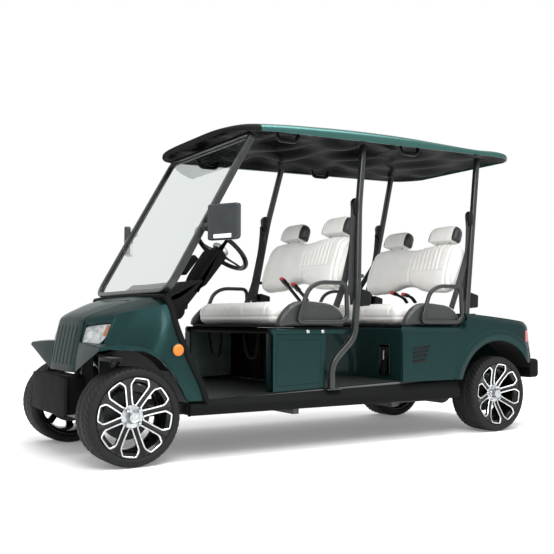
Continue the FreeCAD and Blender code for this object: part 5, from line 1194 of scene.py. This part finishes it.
form = plate([(37, -471), (37, 471), (521, 471), (521, -471)], [40, 40, 60, 60], 688, 798, 38, arc=8, steps=6)
cushion = stuffed("front_cushion_cover", form, cream_vinyl, 0.75,
                  (same, same, (33, -486, 682.4), (536, 486, 812)), cushion_channels, cap=20, cell=12,
                  body="front_seat_lid", stands_for=("front_cushion",))
repeated(cushion, "rear_cushion_cover", "rear_seat_lid", ("rear_cushion",))

# Backrest: two lobes with an arch between them below, end seams, and pleats down the middle of the bench
BACK_UP = np.array([-math.sin(BACK_LEAN), 0, math.cos(BACK_LEAN)])
BACK_OUT = np.array([math.cos(BACK_LEAN), 0, math.sin(BACK_LEAN)])
from_back = framed(BACK_FOOT, ACROSS, BACK_UP, BACK_OUT)


def to_back(p):
    """A point as (across, up the slope, out of the backrest)."""
    d = np.asarray(p, float) - BACK_FOOT
    return np.stack([d[..., 1], d @ BACK_UP, d @ BACK_OUT], -1)


def back_channels(p):
    front = step_up(p[:, 2], 45, 70)
    pleats = line_at(p[:, 0], (74, 112, 150, 188, 226, 264, 302), 9, 7) * step_up(p[:, 1], 150, 175)
    bow = p[:, 0] * (1 + 0.05 * np.cos((p[:, 1] - 190) / 130))
    seams = line_at(bow, (-436, -394, 30, 394, 436), 8, 8)
    rung = line_at(p[:, 1], (150,), 7, 5) * ((p[:, 0] > 36) & (p[:, 0] < 340))
    return np.maximum(np.maximum(pleats, seams), rung) * front


half_outline = [(0, 52), (70, 44), (140, 22), (220, 10), (310, 8), (392, 16), (450, 56), (470, 134),
                (468, 232), (450, 308), (408, 352), (330, 368), (240, 371), (140, 367), (66, 356)]
far_half = [(-y, s) for y, s in half_outline[:0:-1]]
outline = smooth_line(half_outline + [(0, 350)] + far_half, 100, closed=True)
back = stuffed("front_backrest_cover", placed(slab(outline, 8, 90, 34, steps=6), from_back), cream_vinyl, 0.7,
               (to_back, from_back, (-485, 0, 1.5), (485, 384, 107)), back_channels, cap=16, cell=11,
               stands_for=("front_backrest",))
repeated(back, "rear_backrest_cover", "chassis", ("rear_backrest",))

# Headrests: a domed pad in cream with dark end panels
HEADREST = 238
share = np.linspace(-1, 1, 41)
ends = np.sqrt(np.clip(1 - np.abs(share) ** 5, 0.004, 1))
rest_side = rounded([(2, 0), (90, 0), (95, 60), (80, 116), (28, 121), (0, 90)], [10, 12, 42, 34, 34, 42], 7)
middle = np.array([48.0, 40])
rows = middle + (rest_side - middle)[None] * ends[:, None, None]
rest = grid(share[:, None] * 141, rows[..., 1], rows[..., 0])
for word, front in BENCHES:
    for side, near in (("left", HEADREST), ("right", -HEADREST)):
        base = from_back(rest + [near, 371, 0]) + [front - FRONT_SEAT, 0, 0]
        for label, cut, material in (("headrest_pad", slice(5, -5), cream_vinyl),
                                     ("headrest_near_end", slice(-6, None), charcoal_vinyl),
                                     ("headrest_far_end", slice(None, 6), charcoal_vinyl)):
            pad = piece(f"{word}_{side}_{label}", capped(base[cut]), material, sharp=50)
posts = []
for y in (-HEADREST - 60, -HEADREST + 60, HEADREST - 60, HEADREST + 60):
    posts += carried(from_back([(y, 352, 46), (y, 386, 46)]), circle(6, 14), up=AHEAD)
piece("headrest_posts", posts + placed(posts, lambda v: v - [SEAT_PITCH, 0, 0]), plated_steel)


# Side pads: dark D-shaped cushions at the ends of each bench
def pad_seam(p):
    return line_at(np.abs(p[:, 1]), (519,), 3, 2.5)


for word, front in BENCHES:
    pad_side = [(front + 4, 672), (front - 10, 732), (front - 100, 818), (front - 210, 824),
                (front - 380, 806), (front - 452, 742), (front - 456, 672)]
    form = plate(pad_side, [16, 60, 70, 60, 60, 50, 16], 493, 545, 16, axes="xzy", arc=8, steps=5)
    for side, sign in (("left", LEFT), ("right", RIGHT)):
        low, high = sorted((sign * 488.4, sign * 549.6))
        stuffed(f"{word}_{side}_side_pad", form if sign == LEFT else flip(form), charcoal_vinyl, 0.8,
                (same, same, (front - 475, low, 667.8), (front + 17, high, 831)), pad_seam, cap=8, cell=9,
                stands_for=("side_pads",) if (word, side) == ("front", "left") else ())

# Seat boards
for word, front in BENCHES:
    board = plate([(front - 488, -481), (front - 488, 481), (front + 10, 481), (front + 15, 440),
                   (front + 15, -440), (front + 10, -481)], [8, 8, 20, 20, 20, 20], 667.6, 681.4, 4, arc=4)
    piece(f"{word}_bench_board", board, black_moulding, f"{word}_seat_lid", (f"{word}_seat_board",))

# Stage: a white floor and backdrop that keep the cart's shadow, soft lamps and the camera
FLOOR_HALF, FLOOR_LIFT = 60, 0.16


def seen_directly(tree):
    """1 for rays from the camera, from a reflection or through glass, and 0 for all others."""
    rays = add(tree, "LightPath")
    seen = rays.outputs["Is Camera Ray"]
    for kind in ("Is Glossy Ray", "Is Transmission Ray"):
        seen = add(tree, "Math", {0: seen, 1: rays.outputs[kind]}, operation="MAXIMUM").outputs[0]
    return seen


def stage_material():
    """Matt white, lifted to paper white where nothing shades it, for what looks at it directly."""
    made, tree, shader, place = surface("white_paper_floor", None, "f2f2f2", 0.9)
    vary(tree, shader, place, "f1f1f1", "f3f3f3", 2.0)
    seen = seen_directly(tree)
    glow = add(tree, "Emission", {"Strength": FLOOR_LIFT})
    none = add(tree, "Emission", {"Strength": 0.0})
    lift = add(tree, "MixShader", {0: seen, 1: none.outputs[0], 2: glow.outputs[0]})
    both = add(tree, "AddShader", {0: shader.outputs[0], 1: lift.outputs[0]})
    tree.links.new(both.outputs[0], tree.nodes["Material Output"].inputs[0])
    return made


mesh = bpy.data.meshes.new("floor_sheet")
corners = [(x, y, 0) for x, y in rectangle(-FLOOR_HALF, -FLOOR_HALF, FLOOR_HALF, FLOOR_HALF)]
mesh.from_pydata(corners, [], [(0, 1, 2, 3)])
mesh.materials.append(stage_material())
floor = bpy.data.objects.new("floor_sheet", mesh)
bpy.context.scene.collection.objects.link(floor)

world = bpy.data.worlds.new("soft_white_room")
bpy.context.scene.world = world
world.use_nodes = True
tree = world.node_tree
tree.nodes.clear()
seen = seen_directly(tree)
room = add(tree, "Background", {"Color": linear("ffffff"), "Strength": 0.95})
white = add(tree, "Background", {"Color": linear("ffffff"), "Strength": 1.0})
mixed = add(tree, "MixShader", {0: seen, 1: room.outputs[0], 2: white.outputs[0]})
tree.links.new(mixed.outputs[0], add(tree, "OutputWorld").inputs[0])


def lamp(name, spot, target, wide, watts):
    """A soft rectangular lamp that faces a target."""
    light = bpy.data.lights.new(name, "AREA")
    light.shape, light.size, light.size_y, light.energy = "RECTANGLE", wide, wide * 0.7, watts
    obj = bpy.data.objects.new(name, light)
    obj.location = spot
    obj.rotation_euler = (Vector(target) - Vector(spot)).to_track_quat("-Z", "Y").to_euler()
    bpy.context.scene.collection.objects.link(obj)


lamp("key_lamp", (2.4, 4.0, 4.3), (0.3, 0, 0.7), 3.0, 190)
lamp("top_lamp", (-0.8, 1.1, 5.4), (0, 0, 1), 4.0, 340)

# Camera: its place, direction and lens were solved from the outlines in the photograph
camera = bpy.data.objects.new("camera", bpy.data.cameras.new("camera"))
bpy.context.scene.collection.objects.link(camera)
camera.data.sensor_width, camera.data.lens = 36.0, 51.905
camera.location = (2.830, 4.184, 0.708)
yaw, pitch, roll = math.radians(237.72), math.radians(3.09), 0.002
look = Vector((math.cos(yaw) * math.cos(pitch), math.sin(yaw) * math.cos(pitch), math.sin(pitch)))
camera.rotation_mode = "QUATERNION"
camera.rotation_quaternion = look.to_track_quat("-Z", "Y") @ Matrix.Rotation(roll, 3, "Z").to_quaternion()
camera.data.clip_start, camera.data.clip_end = 0.05, 200.0
bpy.context.scene.camera = camera
bpy.context.scene.view_settings.view_transform = "Standard"
